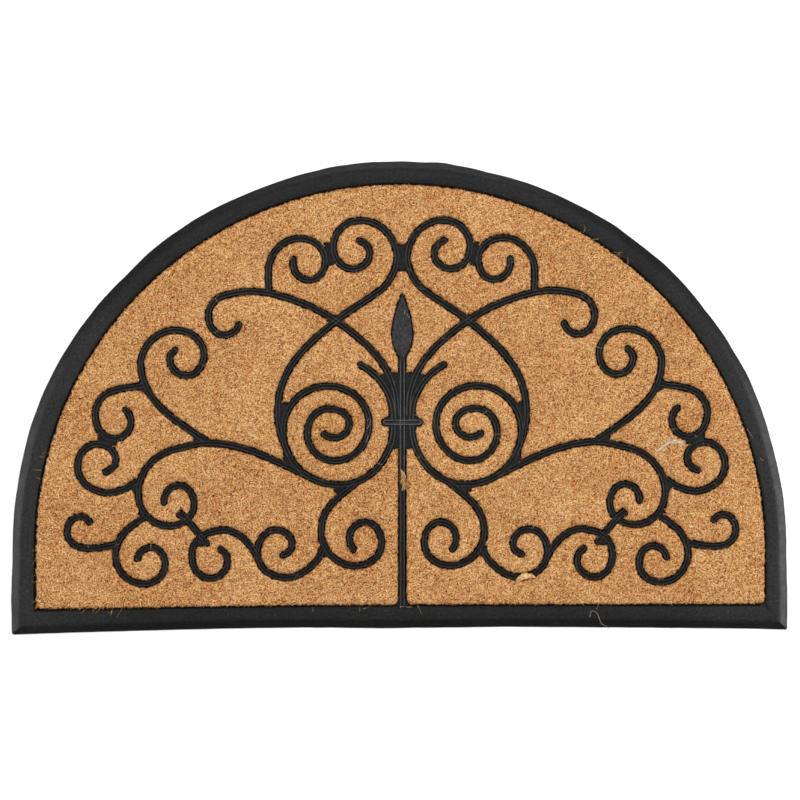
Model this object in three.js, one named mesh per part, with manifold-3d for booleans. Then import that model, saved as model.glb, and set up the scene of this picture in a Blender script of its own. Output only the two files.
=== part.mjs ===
// Half round doormat: a moulded rubber tray with a bevelled border and a raised scroll grille,
// and coir pile pads that fill the pockets between the border and the scrolls.
// Millimetres, +Z up, +X along the straight edge, +Y from the straight edge towards the arch.
import * as THREE from 'three';
import { mergeVertices } from 'three/addons/utils/BufferGeometryUtils.js';
import Module from 'manifold-3d';

const wasm = await Module();
wasm.setup();

// Heights above the ground.
const BACKING_TOP = 2.5;
const EDGE_TOP = 3;
const BORDER_TOP = 9;
const WEB_TOP = 9;
const SPEAR_TOP = 9.8;
const RIB_TOP = 10.4;
const COLLAR_TOP = 11;
const COIR_TOP = 12.4;
const ROOT = 1; // grille pieces start this high, inside the backing they are moulded to

// Plan sizes. The plan's zero is the centre of the arch.
const MAT_RADIUS = 495.3;
const BEVEL_WIDTH = 10;
const FIELD = { centreX: 1.3, radius: 467.5, cornerRadius: 11 };
const AXIS_X = 4.2; // mirror line of the scrollwork
const RIGHT_SHIFT = 2; // how far the right half's moulding lies out from that line,
const RIGHT_LEAN = 0.38; // the degrees that it lies turned about the foot of the line,
const RIGHT_WIDTH = 0.991; // and its width as a share of the left half's
const RIB_WIDTH = 7.6;
const BAR_WIDTH = 9;
const GAP = 0.3; // clearance between the coir and the rubber round it
const CHORD_ERROR = 0.45; // most that a straight step may cut inside a curve
const DRAWN_STEP = 3; // degrees of a volute, or millimetres of a bend, before the line is thinned
const END_STEPS = 4; // steps round the rounded end of a rib
const WELD = 1e-4; // points closer than this are one point
const STRAIGHT = 0.01; // radians; a bend that turns less than this is straight
const DEGREE = Math.PI / 180;

// The arch was cut by hand: over is how far the edge lies outside the mat's radius there.
const TRIM = [
	{ angle: 0, over: -0.6 }, { angle: 8, over: -0.1 }, { angle: 14, over: -0.4 },
	{ angle: 20, over: 0.5 }, { angle: 27, over: 2.4 }, { angle: 31, over: 1.4 },
	{ angle: 34, over: 2 }, { angle: 38, over: 0.9 }, { angle: 42, over: 1.8 },
	{ angle: 47, over: 2.2 }, { angle: 52, over: 0.9 }, { angle: 56, over: 1.8 },
	{ angle: 62, over: 0.4 }, { angle: 71, over: 0.6 }, { angle: 77, over: -0.6 },
	{ angle: 83, over: 1.4 }, { angle: 87, over: 0 }, { angle: 99, over: 0.6 },
	{ angle: 105, over: -0.5 }, { angle: 111, over: -1.5 }, { angle: 121, over: 0 },
	{ angle: 129, over: 0.3 }, { angle: 135, over: -1.4 }, { angle: 140, over: -0.3 },
	{ angle: 147, over: 0.4 }, { angle: 155, over: 1.1 }, { angle: 161, over: 0.6 },
	{ angle: 169, over: -1.5 }, { angle: 180, over: -1.9 },
];
const TRIM_STEP = 4.5; // degrees between the corners of the cut arch

// The rest of the cut edge, from the arch's left foot round to its right foot.
const STRAIGHT_EDGE = [
	{ x: -494.4, y: -40 }, { x: -495.4, y: -65 }, { x: -494.4, y: -109 },
	{ x: -420, y: -106.4 }, { x: -318, y: -103.6 }, { x: -216, y: -101 },
	{ x: -114, y: -99.8 }, { x: -24, y: -100.8 }, { x: 142, y: -98.8 },
	{ x: 295, y: -99.8 }, { x: 448, y: -101.2 }, { x: 496, y: -102.6 }, { x: 496, y: -50 },
];

// The front of the coir field, from its left corner to its right one.
const FIELD_FRONT = [
	{ x: -466.2, y: -78.5 }, { x: -315, y: -76 }, { x: -150, y: -73.4 },
	{ x: 0, y: -72.4 }, { x: 468.8, y: -71.6 },
];

// The scrolls of the left half; the right half mirrors them.
// A volute winds out from its tip. reach is its distance from the eye at the tip, and then
// wherever it crosses the level or upright line through the eye, starting 30 degrees past the tip.
// turn is 1 for winding to the left and -1 for winding to the right.
// The leads carry on from the volute through each place, in the heading given in degrees.
const SCROLLS = [
	{
		name: 'great_sweep', eye: { x: -281, y: 60 }, tip: 180, turn: -1,
		reach: [19, 21.8, 19.6, 28.4, 50.6, 69],
		leads: [
			{ x: -246, y: 136, heading: 0 }, { x: -170, y: 118.5, heading: -23 },
			{ x: -110, y: 90, heading: -26 }, { x: -92, y: 84, heading: -12 },
		],
	},
	{
		name: 'outer_curl', eye: { x: -384, y: 113 }, tip: -57, turn: 1,
		reach: [17, 22.8, 21.4, 25.7, 38.6],
		leads: [{ x: -376, y: 71.5, heading: 0 }, { x: -333, y: 88, heading: 40 }],
	},
	{
		name: 'lower_curl', eye: { x: -317, y: -16 }, tip: 167, turn: -1,
		reach: [17.5, 18.8, 18.5, 27.2, 44],
		leads: [{ x: -350, y: 22, heading: 48 }, { x: -324, y: 42, heading: 36 }],
	},
	{
		name: 'tail_curl', eye: { x: -406, y: 26 }, tip: 39, turn: 1,
		reach: [14.2, 15.9, 17.7, 24],
		leads: [{ x: -395, y: 1, heading: 0 }, { x: -359, y: 7, heading: 16 }],
	},
	{
		name: 'right_hook', eye: { x: -241, y: -12 }, tip: 42, turn: -1,
		reach: [17.7, 22, 25.5, 23.4, 33.6],
		leads: [
			{ x: -225, y: 25, heading: 0 }, { x: -193, y: 8, heading: -50 },
			{ x: -181, y: -10, heading: -66 },
		],
	},
	{
		name: 'left_hook', eye: { x: -157, y: 4 }, tip: -52, turn: 1,
		reach: [14.4, 20.7, 21, 23, 38.5],
		leads: [
			{ x: -143, y: -36.5, heading: 0 }, { x: -115, y: -24.5, heading: 38 },
			{ x: -96, y: 0, heading: 62 },
		],
	},
	{
		name: 'inner_scroll', eye: { x: -43, y: 14 }, tip: 223, turn: -1,
		reach: [20.8, 20.6, 20.8, 20.6, 33.4, 56],
		leads: [
			{ x: -99.3, y: 26, heading: 90 }, { x: -90, y: 53, heading: 54 },
			{ x: -54, y: 85, heading: 38 },
		],
	},
	{
		name: 'spiral', eye: { x: -87, y: 160 }, tip: 235, turn: 1,
		reach: [15.8, 17.2, 23.8, 19.4, 28.3, 47, 49, 48.4, 60.6, 77.3],
		leads: [
			{ x: -75, y: 82, heading: 0 }, { x: -32, y: 99.5, heading: 42 },
			{ x: -12.5, y: 128, heading: 66 }, { x: -7, y: 160, heading: 90 },
		],
	},
	{
		name: 'crown_scroll', eye: { x: -57, y: 379 }, tip: 68, turn: -1,
		reach: [16.2, 19.8, 21.5, 26.3, 40.2, 54],
		leads: [
			{ x: -13.5, y: 341.5, heading: -123 }, { x: -44, y: 317, heading: -146 },
			{ x: -81, y: 291.5, heading: -141 }, { x: -123, y: 253.5, heading: -133 },
			{ x: -151, y: 205, heading: -106 }, { x: -155, y: 172, heading: -90 },
			{ x: -139, y: 119, heading: -60 },
		],
	},
	{
		name: 'shoulder_scroll', eye: { x: -222, y: 292 }, tip: -16, turn: -1,
		reach: [18.7, 19, 21, 32.5],
		leads: [
			{ x: -190, y: 329.5, heading: 0 }, { x: -144, y: 321.5, heading: -18 },
			{ x: -98, y: 302.5, heading: -29 }, { x: -48.5, y: 267.5, heading: -41 },
			{ x: -19.7, y: 235.5, heading: -57 }, { x: -5.3, y: 202, heading: -75 },
			{ x: -2.6, y: 170, heading: -88 },
		],
	},
	{
		name: 'crown_loop', eye: { x: -114, y: 366 }, tip: 169, turn: 1,
		reach: [21.4, 22.5, 20, 29, 51.3],
		leads: [{ x: -167, y: 345, heading: -90 }, { x: -166, y: 330, heading: -86 }],
	},
	{
		name: 'side_scroll', eye: { x: -271, y: 245 }, tip: 149, turn: 1,
		reach: [17.5, 21.8, 23.5, 22, 32.6, 57.8],
		leads: [
			{ x: -330, y: 237, heading: -88 }, { x: -317, y: 196.5, heading: -56 },
			{ x: -281, y: 161.5, heading: -36 }, { x: -246, y: 138, heading: -34 },
		],
	},
	{
		name: 'side_curl', eye: { x: -363, y: 165 }, tip: 43, turn: -1,
		reach: [19.1, 21, 24, 24.5, 38],
		leads: [{ x: -345, y: 206.5, heading: 0 }, { x: -325, y: 210, heading: 12 }],
	},
];

// Plain ribs of the left half that carry no volute.
const STRAPS = [
	{
		name: 'side_shoot', width: RIB_WIDTH, rounded: true,
		places: [
			{ x: -49, y: 235.5, heading: -28 }, { x: -22, y: 213, heading: -54 },
			{ x: -7.4, y: 178, heading: -85 }, { x: -6.8, y: 165, heading: -90 },
		],
	},
	{
		name: 'link', width: RIB_WIDTH, rounded: true,
		places: [
			{ x: -245.5, y: 8, heading: 124 }, { x: -259.5, y: 24, heading: 131 },
			{ x: -275, y: 43, heading: 140 },
		],
	},
	{
		name: 'link_head', width: 9.5, rounded: false,
		places: [{ x: -282, y: 47, heading: -38 }, { x: -270, y: 38.5, heading: -38 }],
	},
];

// Webs of the left half: flat rubber that fills the narrow places between ribs.
const WEBS = [
	{ name: 'loop_to_crown', corners: [[-95, 391], [-84, 391], [-82, 377], [-84, 363], [-95, 363]] },
	{ name: 'crossing', corners: [[-92, 292], [-81, 299], [-69.5, 292], [-81, 285]] },
	{ name: 'arc_to_spiral', corners: [[-153, 187.5], [-141, 186], [-146, 150], [-155, 150]] },
	{ name: 'arc_foot', corners: [[-147, 130], [-136, 120], [-122, 98], [-140, 105], [-147, 109]] },
	{ name: 'spiral_foot', corners: [[-83, 74], [-83, 80], [-68, 80], [-74, 71]] },
	{ name: 'sweep_fork', corners: [[-238, 137], [-262, 149], [-262, 135]] },
	{ name: 'side_fork', corners: [[-318, 206], [-336, 207], [-327, 222]] },
	{ name: 'side_gusset', corners: [[-336, 206], [-322, 207], [-317, 197], [-325, 200]] },
	{ name: 'curl_bridge', corners: [[-384, 147], [-384, 137], [-372, 133], [-360.5, 133], [-360.5, 143]] },
	{ name: 'outer_fork', corners: [[-331, 88], [-343, 79], [-334.5, 68]] },
	{ name: 'lower_fork', corners: [[-329, 52], [-333, 45], [-322, 40]] },
	{ name: 'tail_fork', corners: [[-357, 13], [-368, 8], [-366, 0], [-360, -4]] },
	{ name: 'link_foot', corners: [[-259, 12], [-256, 4], [-248, 5], [-248, 12]] },
	{ name: 'hook_fork', corners: [[-184, 7], [-180, 8], [-176, -20], [-183, -12]] },
	{ name: 'scroll_fork', corners: [[-102, 3], [-103, -5], [-96, -9], [-89, -9], [-93, 3]] },
];

// Half outlines of what stands on the mirror line: half is the width to the left of it.
const CROWN_WEB = [{ y: 389, half: 9 }, { y: 356, half: 9 }];
const FAN_WEB = [
	{ y: 225, half: 19 }, { y: 221, half: 30 }, { y: 211, half: 25 }, { y: 200, half: 21.5 },
	{ y: 188, half: 18 }, { y: 176, half: 16.3 }, { y: 160, half: 15.8 }, { y: 150, half: 16.2 },
	{ y: 140, half: 17.8 }, { y: 129, half: 16 },
];
const COLLAR_WEB = [
	{ y: 171, half: 16.6 }, { y: 168, half: 19.4 }, { y: 166, half: 23 }, { y: 158.7, half: 23 },
	{ y: 157, half: 18.2 }, { y: 153, half: 16 },
];
const FOOT_WEB = [{ y: -62, half: 4.4 }, { y: -67, half: 5.8 }, { y: -70, half: 8 }, { y: -74, half: 12 }];
const SPEAR = [
	{ y: 327, half: 0.4 }, { y: 320, half: 3.4 }, { y: 310, half: 7 }, { y: 290, half: 12.2 },
	{ y: 275, half: 13.7 }, { y: 260, half: 11.7 }, { y: 250, half: 7.2 }, { y: 243, half: 4.2 },
	{ y: 236, half: 3.9 },
];
const COLLAR = { y: 162.3, reach: 26.2, width: 9.3 };
const BAR = { top: 245, bottom: -76 };

// Colours of the dry mat.
const RUBBER = new THREE.MeshStandardMaterial({ color: 0x3f4141, roughness: 0.72, flatShading: true });
const COIR = new THREE.MeshStandardMaterial({ color: 0xb98d5c, roughness: 0.96, flatShading: true });

const onCircle = (centre, radius, degrees) => ({
	x: centre.x + radius * Math.cos(degrees * DEGREE),
	y: centre.y + radius * Math.sin(degrees * DEGREE),
});
const mirrored = (point) => {
	const across = (AXIS_X - point.x) * RIGHT_WIDTH;
	const cos = Math.cos(RIGHT_LEAN * DEGREE);
	const sin = Math.sin(RIGHT_LEAN * DEGREE);
	const x = AXIS_X + RIGHT_SHIFT + across * cos - point.y * sin;
	return { x, y: across * sin + point.y * cos };
};
const distance = (a, b) => Math.hypot(b.x - a.x, b.y - a.y);
const headingOf = (a, b) => Math.atan2(b.y - a.y, b.x - a.x) / DEGREE;

// Curve through (at, value) rows with a smooth slope at each row.
function smoothTable(rows) {
	const slopes = rows.map((row, i) => {
		const before = rows[Math.max(i - 1, 0)];
		const after = rows[Math.min(i + 1, rows.length - 1)];
		return (after.value - before.value) / (after.at - before.at);
	});
	return (at) => {
		let i = 0;
		while (i < rows.length - 2 && at > rows[i + 1].at) i += 1;
		const span = rows[i + 1].at - rows[i].at;
		const t = (at - rows[i].at) / span;
		const rise = rows[i + 1].value - rows[i].value;
		const start = slopes[i] * span - rise;
		const end = rise - slopes[i + 1] * span;
		return rows[i].value + t * rise + t * (1 - t) * (start * (1 - t) + end * t);
	};
}

// Points of a volute, wound from its tip outwards.
function volute({ eye, tip, turn, reach }) {
	const quarter = 90;
	const clear = 30;
	const firstCrossing = quarter * Math.ceil((turn * tip + clear) / quarter);
	const rows = reach.map((value, i) => {
		const at = i === 0 ? turn * tip : firstCrossing + quarter * (i - 1);
		return { at, value };
	});
	const radiusAt = smoothTable(rows);
	const first = rows[0].at;
	const last = rows[rows.length - 1].at;
	const steps = Math.ceil((last - first) / DRAWN_STEP);
	return Array.from({ length: steps + 1 }, (_, i) => {
		const at = first + ((last - first) * i) / steps;
		return onCircle(eye, radiusAt(at), turn * at);
	});
}

// Points of a smooth bend between two places, each with a heading; it is an arc where they allow one.
function bend(from, to) {
	const chord = distance(from, to);
	let turned = (to.heading - from.heading) % 360;
	if (turned > 180) turned -= 360;
	if (turned < -180) turned += 360;
	const half = Math.abs(turned * DEGREE) / 2;
	const arcHandle = (chord * 2 * Math.tan(half / 2)) / (3 * Math.sin(half));
	const handle = half > STRAIGHT ? arcHandle : chord / 3;
	const leave = onCircle(from, handle, from.heading);
	const arrive = onCircle(to, -handle, to.heading);
	const curve = new THREE.CubicBezierCurve(
		new THREE.Vector2(from.x, from.y), new THREE.Vector2(leave.x, leave.y),
		new THREE.Vector2(arrive.x, arrive.y), new THREE.Vector2(to.x, to.y),
	);
	const steps = Math.max(4, Math.ceil(chord / DRAWN_STEP));
	return curve.getPoints(steps).slice(1);
}

// Points through places that follow on from what is already drawn.
function extend(points, places) {
	const drawn = [...points];
	for (const place of places) {
		const end = drawn[drawn.length - 1];
		const from = { ...end, heading: end.heading ?? headingOf(drawn[drawn.length - 2], end) };
		drawn.push(...bend(from, place));
		drawn[drawn.length - 1] = place;
	}
	return drawn;
}

// Keep only the points that the curve needs to stay within CHORD_ERROR of its shape.
function thinned(points) {
	const kept = [points[0]];
	let from = 0;
	while (from < points.length - 1) {
		let to = from + 1;
		while (to + 1 < points.length && staysClose(points, from, to + 1)) to += 1;
		kept.push(points[to]);
		from = to;
	}
	return kept;
}

function staysClose(points, from, to) {
	const a = points[from];
	const b = points[to];
	const length = distance(a, b);
	for (let i = from + 1; i < to; i += 1) {
		const p = points[i];
		const off = Math.abs((b.x - a.x) * (p.y - a.y) - (b.y - a.y) * (p.x - a.x)) / length;
		if (off > CHORD_ERROR) return false;
	}
	return true;
}

// Outline of a ribbon of one width along a line of points; its free end may be rounded.
function ribbon(points, width, roundedStart) {
	const half = width / 2;
	const left = [];
	const right = [];
	points.forEach((point, i) => {
		const before = points[Math.max(i - 1, 0)];
		const after = points[Math.min(i + 1, points.length - 1)];
		const heading = headingOf(before, after);
		left.push(onCircle(point, half, heading + 90));
		right.push(onCircle(point, half, heading - 90));
	});
	const cap = [];
	if (roundedStart) {
		const heading = headingOf(points[0], points[1]);
		for (let i = 1; i < END_STEPS; i += 1) {
			cap.push(onCircle(points[0], half, heading + 90 + (180 * i) / END_STEPS));
		}
	}
	return [...cap.reverse(), ...left, ...right.reverse()];
}

// Outline from rows of half widths on both sides of the mirror line.
function bothSides(rows) {
	const left = rows.map(({ y, half }) => ({ x: AXIS_X - half, y }));
	const right = rows.map(({ y, half }) => ({ x: AXIS_X + half, y }));
	return [...left, ...right.reverse()];
}

function prism(outline, bottom, top, outset = 0) {
	const shape = new THREE.Shape(outline.map(({ x, y }) => new THREE.Vector2(x, y)));
	const geometry = new THREE.ExtrudeGeometry(shape, {
		depth: top - bottom, curveSegments: 1, bevelEnabled: outset !== 0,
		bevelThickness: 0, bevelSize: 0, bevelOffset: outset, bevelSegments: 0,
	});
	return solid(geometry.translate(0, 0, bottom));
}

// A closed geometry as a solid that can be joined and cut.
function solid(geometry) {
	const bare = geometry.clone();
	bare.deleteAttribute('normal');
	bare.deleteAttribute('uv');
	const merged = mergeVertices(bare, WELD);
	return new wasm.Manifold(new wasm.Mesh({
		numProp: 3,
		vertProperties: new Float32Array(merged.attributes.position.array),
		triVerts: new Uint32Array(merged.index.array),
	}));
}

const joined = (solids) => solids.reduce((whole, piece) => whole.add(piece));

function overAt(angle) {
	const next = TRIM.findIndex((row) => row.angle >= angle);
	if (next <= 0) return TRIM[0].over;
	const a = TRIM[next - 1];
	const b = TRIM[next];
	return a.over + ((b.over - a.over) * (angle - a.angle)) / (b.angle - a.angle);
}

// The cut edge of the whole mat.
function matOutline() {
	const arch = [];
	for (let angle = 0; angle <= 180; angle += TRIM_STEP) {
		arch.push(onCircle({ x: 0, y: 0 }, MAT_RADIUS + overAt(angle), angle));
	}
	return [...arch, ...STRAIGHT_EDGE];
}

// The wall of the recessed field that holds the coir.
function fieldOutline() {
	const centre = { x: FIELD.centreX, y: 0 };
	const arch = [];
	for (let angle = 0; angle <= 180; angle += TRIM_STEP) {
		arch.push(onCircle(centre, FIELD.radius, angle));
	}
	const corner = FIELD_FRONT[FIELD_FRONT.length - 1];
	const turnAbout = { x: corner.x - FIELD.cornerRadius, y: corner.y + FIELD.cornerRadius };
	const rounded = [270, 300, 330, 360].map((angle) => onCircle(turnAbout, FIELD.cornerRadius, angle));
	return [...arch, ...FIELD_FRONT.slice(0, -1), ...rounded];
}

// Backing and border in one, before the field is sunk into it.
function tray() {
	const shape = new THREE.Shape(matOutline().map(({ x, y }) => new THREE.Vector2(x, y)));
	const lens = new THREE.ExtrudeGeometry(shape, {
		depth: EDGE_TOP, curveSegments: 1, bevelEnabled: true, bevelSegments: 1,
		bevelThickness: BORDER_TOP - EDGE_TOP, bevelSize: BEVEL_WIDTH, bevelOffset: -BEVEL_WIDTH,
	});
	const aboveGround = new THREE.BoxGeometry(4 * MAT_RADIUS, 4 * MAT_RADIUS, 2 * BORDER_TOP);
	return solid(lens).intersect(solid(aboveGround.translate(0, 0, BORDER_TOP)));
}

// Everything raised inside the field, with its walls moved out by outset and its tops raised to atLeast.
function grille(outset, atLeast) {
	const pieces = [];
	const raise = (outline, top, extra = 0) => pieces.push(prism(outline, ROOT, Math.max(top, atLeast), extra));
	const both = (points, make) => [points, points.map(mirrored)].forEach(make);
	for (const scroll of SCROLLS) {
		const line = thinned(extend(volute(scroll), scroll.leads));
		both(line, (points) => raise(ribbon(points, RIB_WIDTH + 2 * outset, true), RIB_TOP));
	}
	for (const strap of STRAPS) {
		const line = thinned(extend([strap.places[0]], strap.places.slice(1)));
		both(line, (points) => raise(ribbon(points, strap.width + 2 * outset, strap.rounded), RIB_TOP));
	}
	for (const web of WEBS) {
		both(web.corners.map(([x, y]) => ({ x, y })), (points) => raise(points, WEB_TOP, outset));
	}
	for (const rows of [CROWN_WEB, FAN_WEB, COLLAR_WEB, FOOT_WEB]) raise(bothSides(rows), WEB_TOP, outset);
	raise(bothSides(SPEAR), SPEAR_TOP, outset);
	const bar = [{ x: AXIS_X, y: BAR.top }, { x: AXIS_X, y: BAR.bottom }];
	raise(ribbon(bar, BAR_WIDTH + 2 * outset, false), RIB_TOP);
	raise(collarOutline(outset), COLLAR_TOP);
	return joined(pieces);
}

function collarOutline(outset) {
	const half = COLLAR.width / 2 + outset;
	const reach = COLLAR.reach + outset - half;
	const ends = [{ x: AXIS_X + reach, from: -90 }, { x: AXIS_X - reach, from: 90 }];
	const angles = Array.from({ length: END_STEPS + 1 }, (_, i) => (180 * i) / END_STEPS);
	return ends.flatMap(({ x, from }) => angles.map(
		(angle) => onCircle({ x, y: COLLAR.y }, half, from + angle),
	));
}

// A named mesh from a solid's vertices and triangles.
function meshOf(name, positions, triangles, material) {
	const geometry = new THREE.BufferGeometry();
	geometry.setAttribute('position', new THREE.Float32BufferAttribute(positions, 3));
	geometry.setIndex(triangles);
	geometry.computeVertexNormals();
	const mesh = new THREE.Mesh(geometry, material);
	mesh.name = name;
	return mesh;
}

// Split a solid into its separate bodies, each with its own vertices and triangles.
function bodiesOf(whole) {
	const { vertProperties, triVerts } = whole.getMesh();
	const owner = Array.from({ length: vertProperties.length / 3 }, (_, i) => i);
	const rootOf = (i) => {
		while (owner[i] !== i) i = owner[i] = owner[owner[i]];
		return i;
	};
	for (let t = 0; t < triVerts.length; t += 3) {
		owner[rootOf(triVerts[t])] = rootOf(triVerts[t + 1]);
		owner[rootOf(triVerts[t + 1])] = rootOf(triVerts[t + 2]);
	}
	const bodies = new Map();
	triVerts.forEach((vertex) => {
		const root = rootOf(vertex);
		if (!bodies.has(root)) bodies.set(root, { positions: [], triangles: [], places: new Map() });
		const body = bodies.get(root);
		if (!body.places.has(vertex)) {
			body.places.set(vertex, body.positions.length / 3);
			body.positions.push(...vertProperties.slice(3 * vertex, 3 * vertex + 3));
		}
		body.triangles.push(body.places.get(vertex));
	});
	return [...bodies.values()];
}

// Names for the coir pads, each with a place in plan that only that pad covers.
const PAD_PLACES = [
	{ name: 'coir_outer', x: 0, y: 445 },
	{ name: 'coir_spear', x: -25, y: 290 },
	{ name: 'coir_top', x: -110, y: 325, sides: true },
	{ name: 'coir_teardrop', x: -25, y: 190, sides: true },
	{ name: 'coir_side', x: -340, y: 120, sides: true },
	{ name: 'coir_field', x: -200, y: 80, sides: true },
];

function covers({ positions, triangles }, { x, y }) {
	const corner = (i) => ({ x: positions[3 * triangles[i]], y: positions[3 * triangles[i] + 1] });
	const side = (a, b) => Math.sign((b.x - a.x) * (y - a.y) - (b.y - a.y) * (x - a.x));
	for (let t = 0; t < triangles.length; t += 3) {
		const [a, b, c] = [corner(t), corner(t + 1), corner(t + 2)];
		const turns = [side(a, b), side(b, c), side(c, a)];
		if (turns.every((turn) => turn > 0)) return true;
	}
	return false;
}

function coirPads() {
	const sheet = prism(fieldOutline(), BACKING_TOP + GAP, COIR_TOP, -GAP);
	const pads = bodiesOf(sheet.subtract(grille(GAP, COIR_TOP + 1)));
	const places = PAD_PLACES.flatMap((place) => (place.sides
		? [{ ...place, name: `${place.name}_left` }, { ...mirrored(place), name: `${place.name}_right` }]
		: [place]));
	return places.map((place) => {
		const pad = pads.find((body) => covers(body, place));
		return meshOf(place.name, pad.positions, pad.triangles, COIR);
	});
}

function rubberMoulding() {
	const sink = prism(fieldOutline(), BACKING_TOP, 2 * COIR_TOP);
	const [body] = bodiesOf(tray().subtract(sink).add(grille(0, 0)));
	return meshOf('rubber_moulding', body.positions, body.triangles, RUBBER);
}

// The origin is on the ground under the middle of the mat's box.
const mat = new THREE.Group();
const moulding = rubberMoulding();
mat.add(moulding, ...coirPads());
moulding.geometry.computeBoundingBox();
const middle = moulding.geometry.boundingBox.getCenter(new THREE.Vector3());
mat.position.set(-middle.x, -middle.y, 0);

export default mat;
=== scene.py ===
"""Half round doormat: a moulded rubber tray with grooved scroll ribs, filled with coir pile.

Sizes are millimetres in the plan, whose zero is the centre of the arch, until MM turns them into
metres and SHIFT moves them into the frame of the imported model.
"""

import math

import bmesh
import bpy
import numpy as np
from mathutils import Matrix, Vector
from mathutils.geometry import delaunay_2d_cdt


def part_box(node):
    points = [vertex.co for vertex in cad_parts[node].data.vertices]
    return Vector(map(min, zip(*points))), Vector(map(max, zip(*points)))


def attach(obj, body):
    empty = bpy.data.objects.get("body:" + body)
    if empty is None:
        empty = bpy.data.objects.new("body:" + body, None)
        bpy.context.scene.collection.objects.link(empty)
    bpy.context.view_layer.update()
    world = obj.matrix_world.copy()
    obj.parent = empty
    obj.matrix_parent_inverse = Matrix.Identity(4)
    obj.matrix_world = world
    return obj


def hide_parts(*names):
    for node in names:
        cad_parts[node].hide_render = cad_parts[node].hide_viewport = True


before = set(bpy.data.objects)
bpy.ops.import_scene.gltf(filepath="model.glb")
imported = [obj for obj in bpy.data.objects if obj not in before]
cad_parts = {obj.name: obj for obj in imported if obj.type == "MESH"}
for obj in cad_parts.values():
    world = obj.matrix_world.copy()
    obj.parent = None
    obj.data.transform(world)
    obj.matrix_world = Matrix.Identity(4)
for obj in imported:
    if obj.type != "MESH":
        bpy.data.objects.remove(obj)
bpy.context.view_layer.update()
MM = 0.001

# Heights above the ground.
BORDER_TOP = 9
WEB_TOP = 9
SPEAR_TOP = 9.8
RIB_TOP = 10.4
COLLAR_TOP = 11
ROOT = 1

# Plan sizes.
AXIS_X = 4.2
RIGHT_SHIFT = 2
RIGHT_LEAN = math.radians(0.38)
RIGHT_WIDTH = 0.991
RIB_WIDTH = 7.6
BAR_WIDTH = 9
DRAWN_STEP = 3
RIB_STEP = 3
CAP_STEPS = 8
STRAIGHT = 0.01
BEHIND = 1e-3
QUARTER = 90
CLEAR_OF_TIP = 30
SHARP = math.radians(38)
# Small lengths in the plan, so that nothing is divided by zero.
TINY = 1e-9
TINIEST = 1e-12

# The mat's hand cut outer edge: over is how far it lies outside the radius at that angle.
OUTER = {
    "centre_x": 0, "radius": 495.3,
    "angle": (0, 8, 14, 20, 27, 31, 34, 38, 42, 47, 52, 56, 62, 71, 77, 83, 87, 99, 105, 111, 121,
              129, 135, 140, 147, 155, 161, 169, 180),
    "over": (-0.6, -0.1, -0.4, 0.5, 2.4, 1.4, 2, 0.9, 1.8, 2.2, 0.9, 1.8, 0.4, 0.6, -0.6, 1.4, 0,
             0.6, -0.5, -1.5, 0, 0.3, -1.4, -0.3, 0.4, 1.1, 0.6, -1.5, -1.9),
    "right": {"y": (-102.6, -50, 0), "x": (496, 496, 494.7)},
    "left": {"y": (-109, -65, -40, 0), "x": (-494.4, -495.4, -494.4, -493.4)},
    "front": {"x": (-494.4, -420, -318, -216, -114, -24, 142, 295, 448, 496),
              "y": (-109, -106.4, -103.6, -101, -99.8, -100.8, -98.8, -99.8, -101.2, -102.6)},
    "left_corner": 3.4, "right_corner": 1.6, "wobble": 0.18,
}
# The wall of the sunk field that holds the coir.
FIELD = {
    "centre_x": 1.3, "radius": 467.5, "angle": (0, 180), "over": (0, 0),
    "right": {"y": (-80, 0), "x": (468.8, 468.8)},
    "left": {"y": (-80, 0), "x": (-466.2, -466.2)},
    "front": {"x": (-466.2, -315, -150, 0, 468.8), "y": (-78.5, -76, -73.4, -72.4, -71.6)},
    "left_corner": 1.2, "right_corner": 11, "wobble": 0.12,
}
RING_CENTRE = (0, 60)
RING_WAVE = 38
RING_STEPS = {"arch": 260, "side": 24, "front": 200, "corner": 6}
# Rings of the tray from the ground up over the bevel and down the field's wall.
TRAY_RINGS = (
    {"edge": OUTER, "inset": (0.3, 0, 0, 0.35, 1.2, 4, 6.6, 8.6, 10.6, 13),
     "z": (0, 0.4, 2.7, 3.15, 3.75, 5.55, 7.1, 8.05, 8.7, 9)},
    {"edge": FIELD, "inset": (-4.5, -1.3, -0.5, 0, 0.15), "z": (9, 9, 8.75, 8.1, 2.5)},
)

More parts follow.
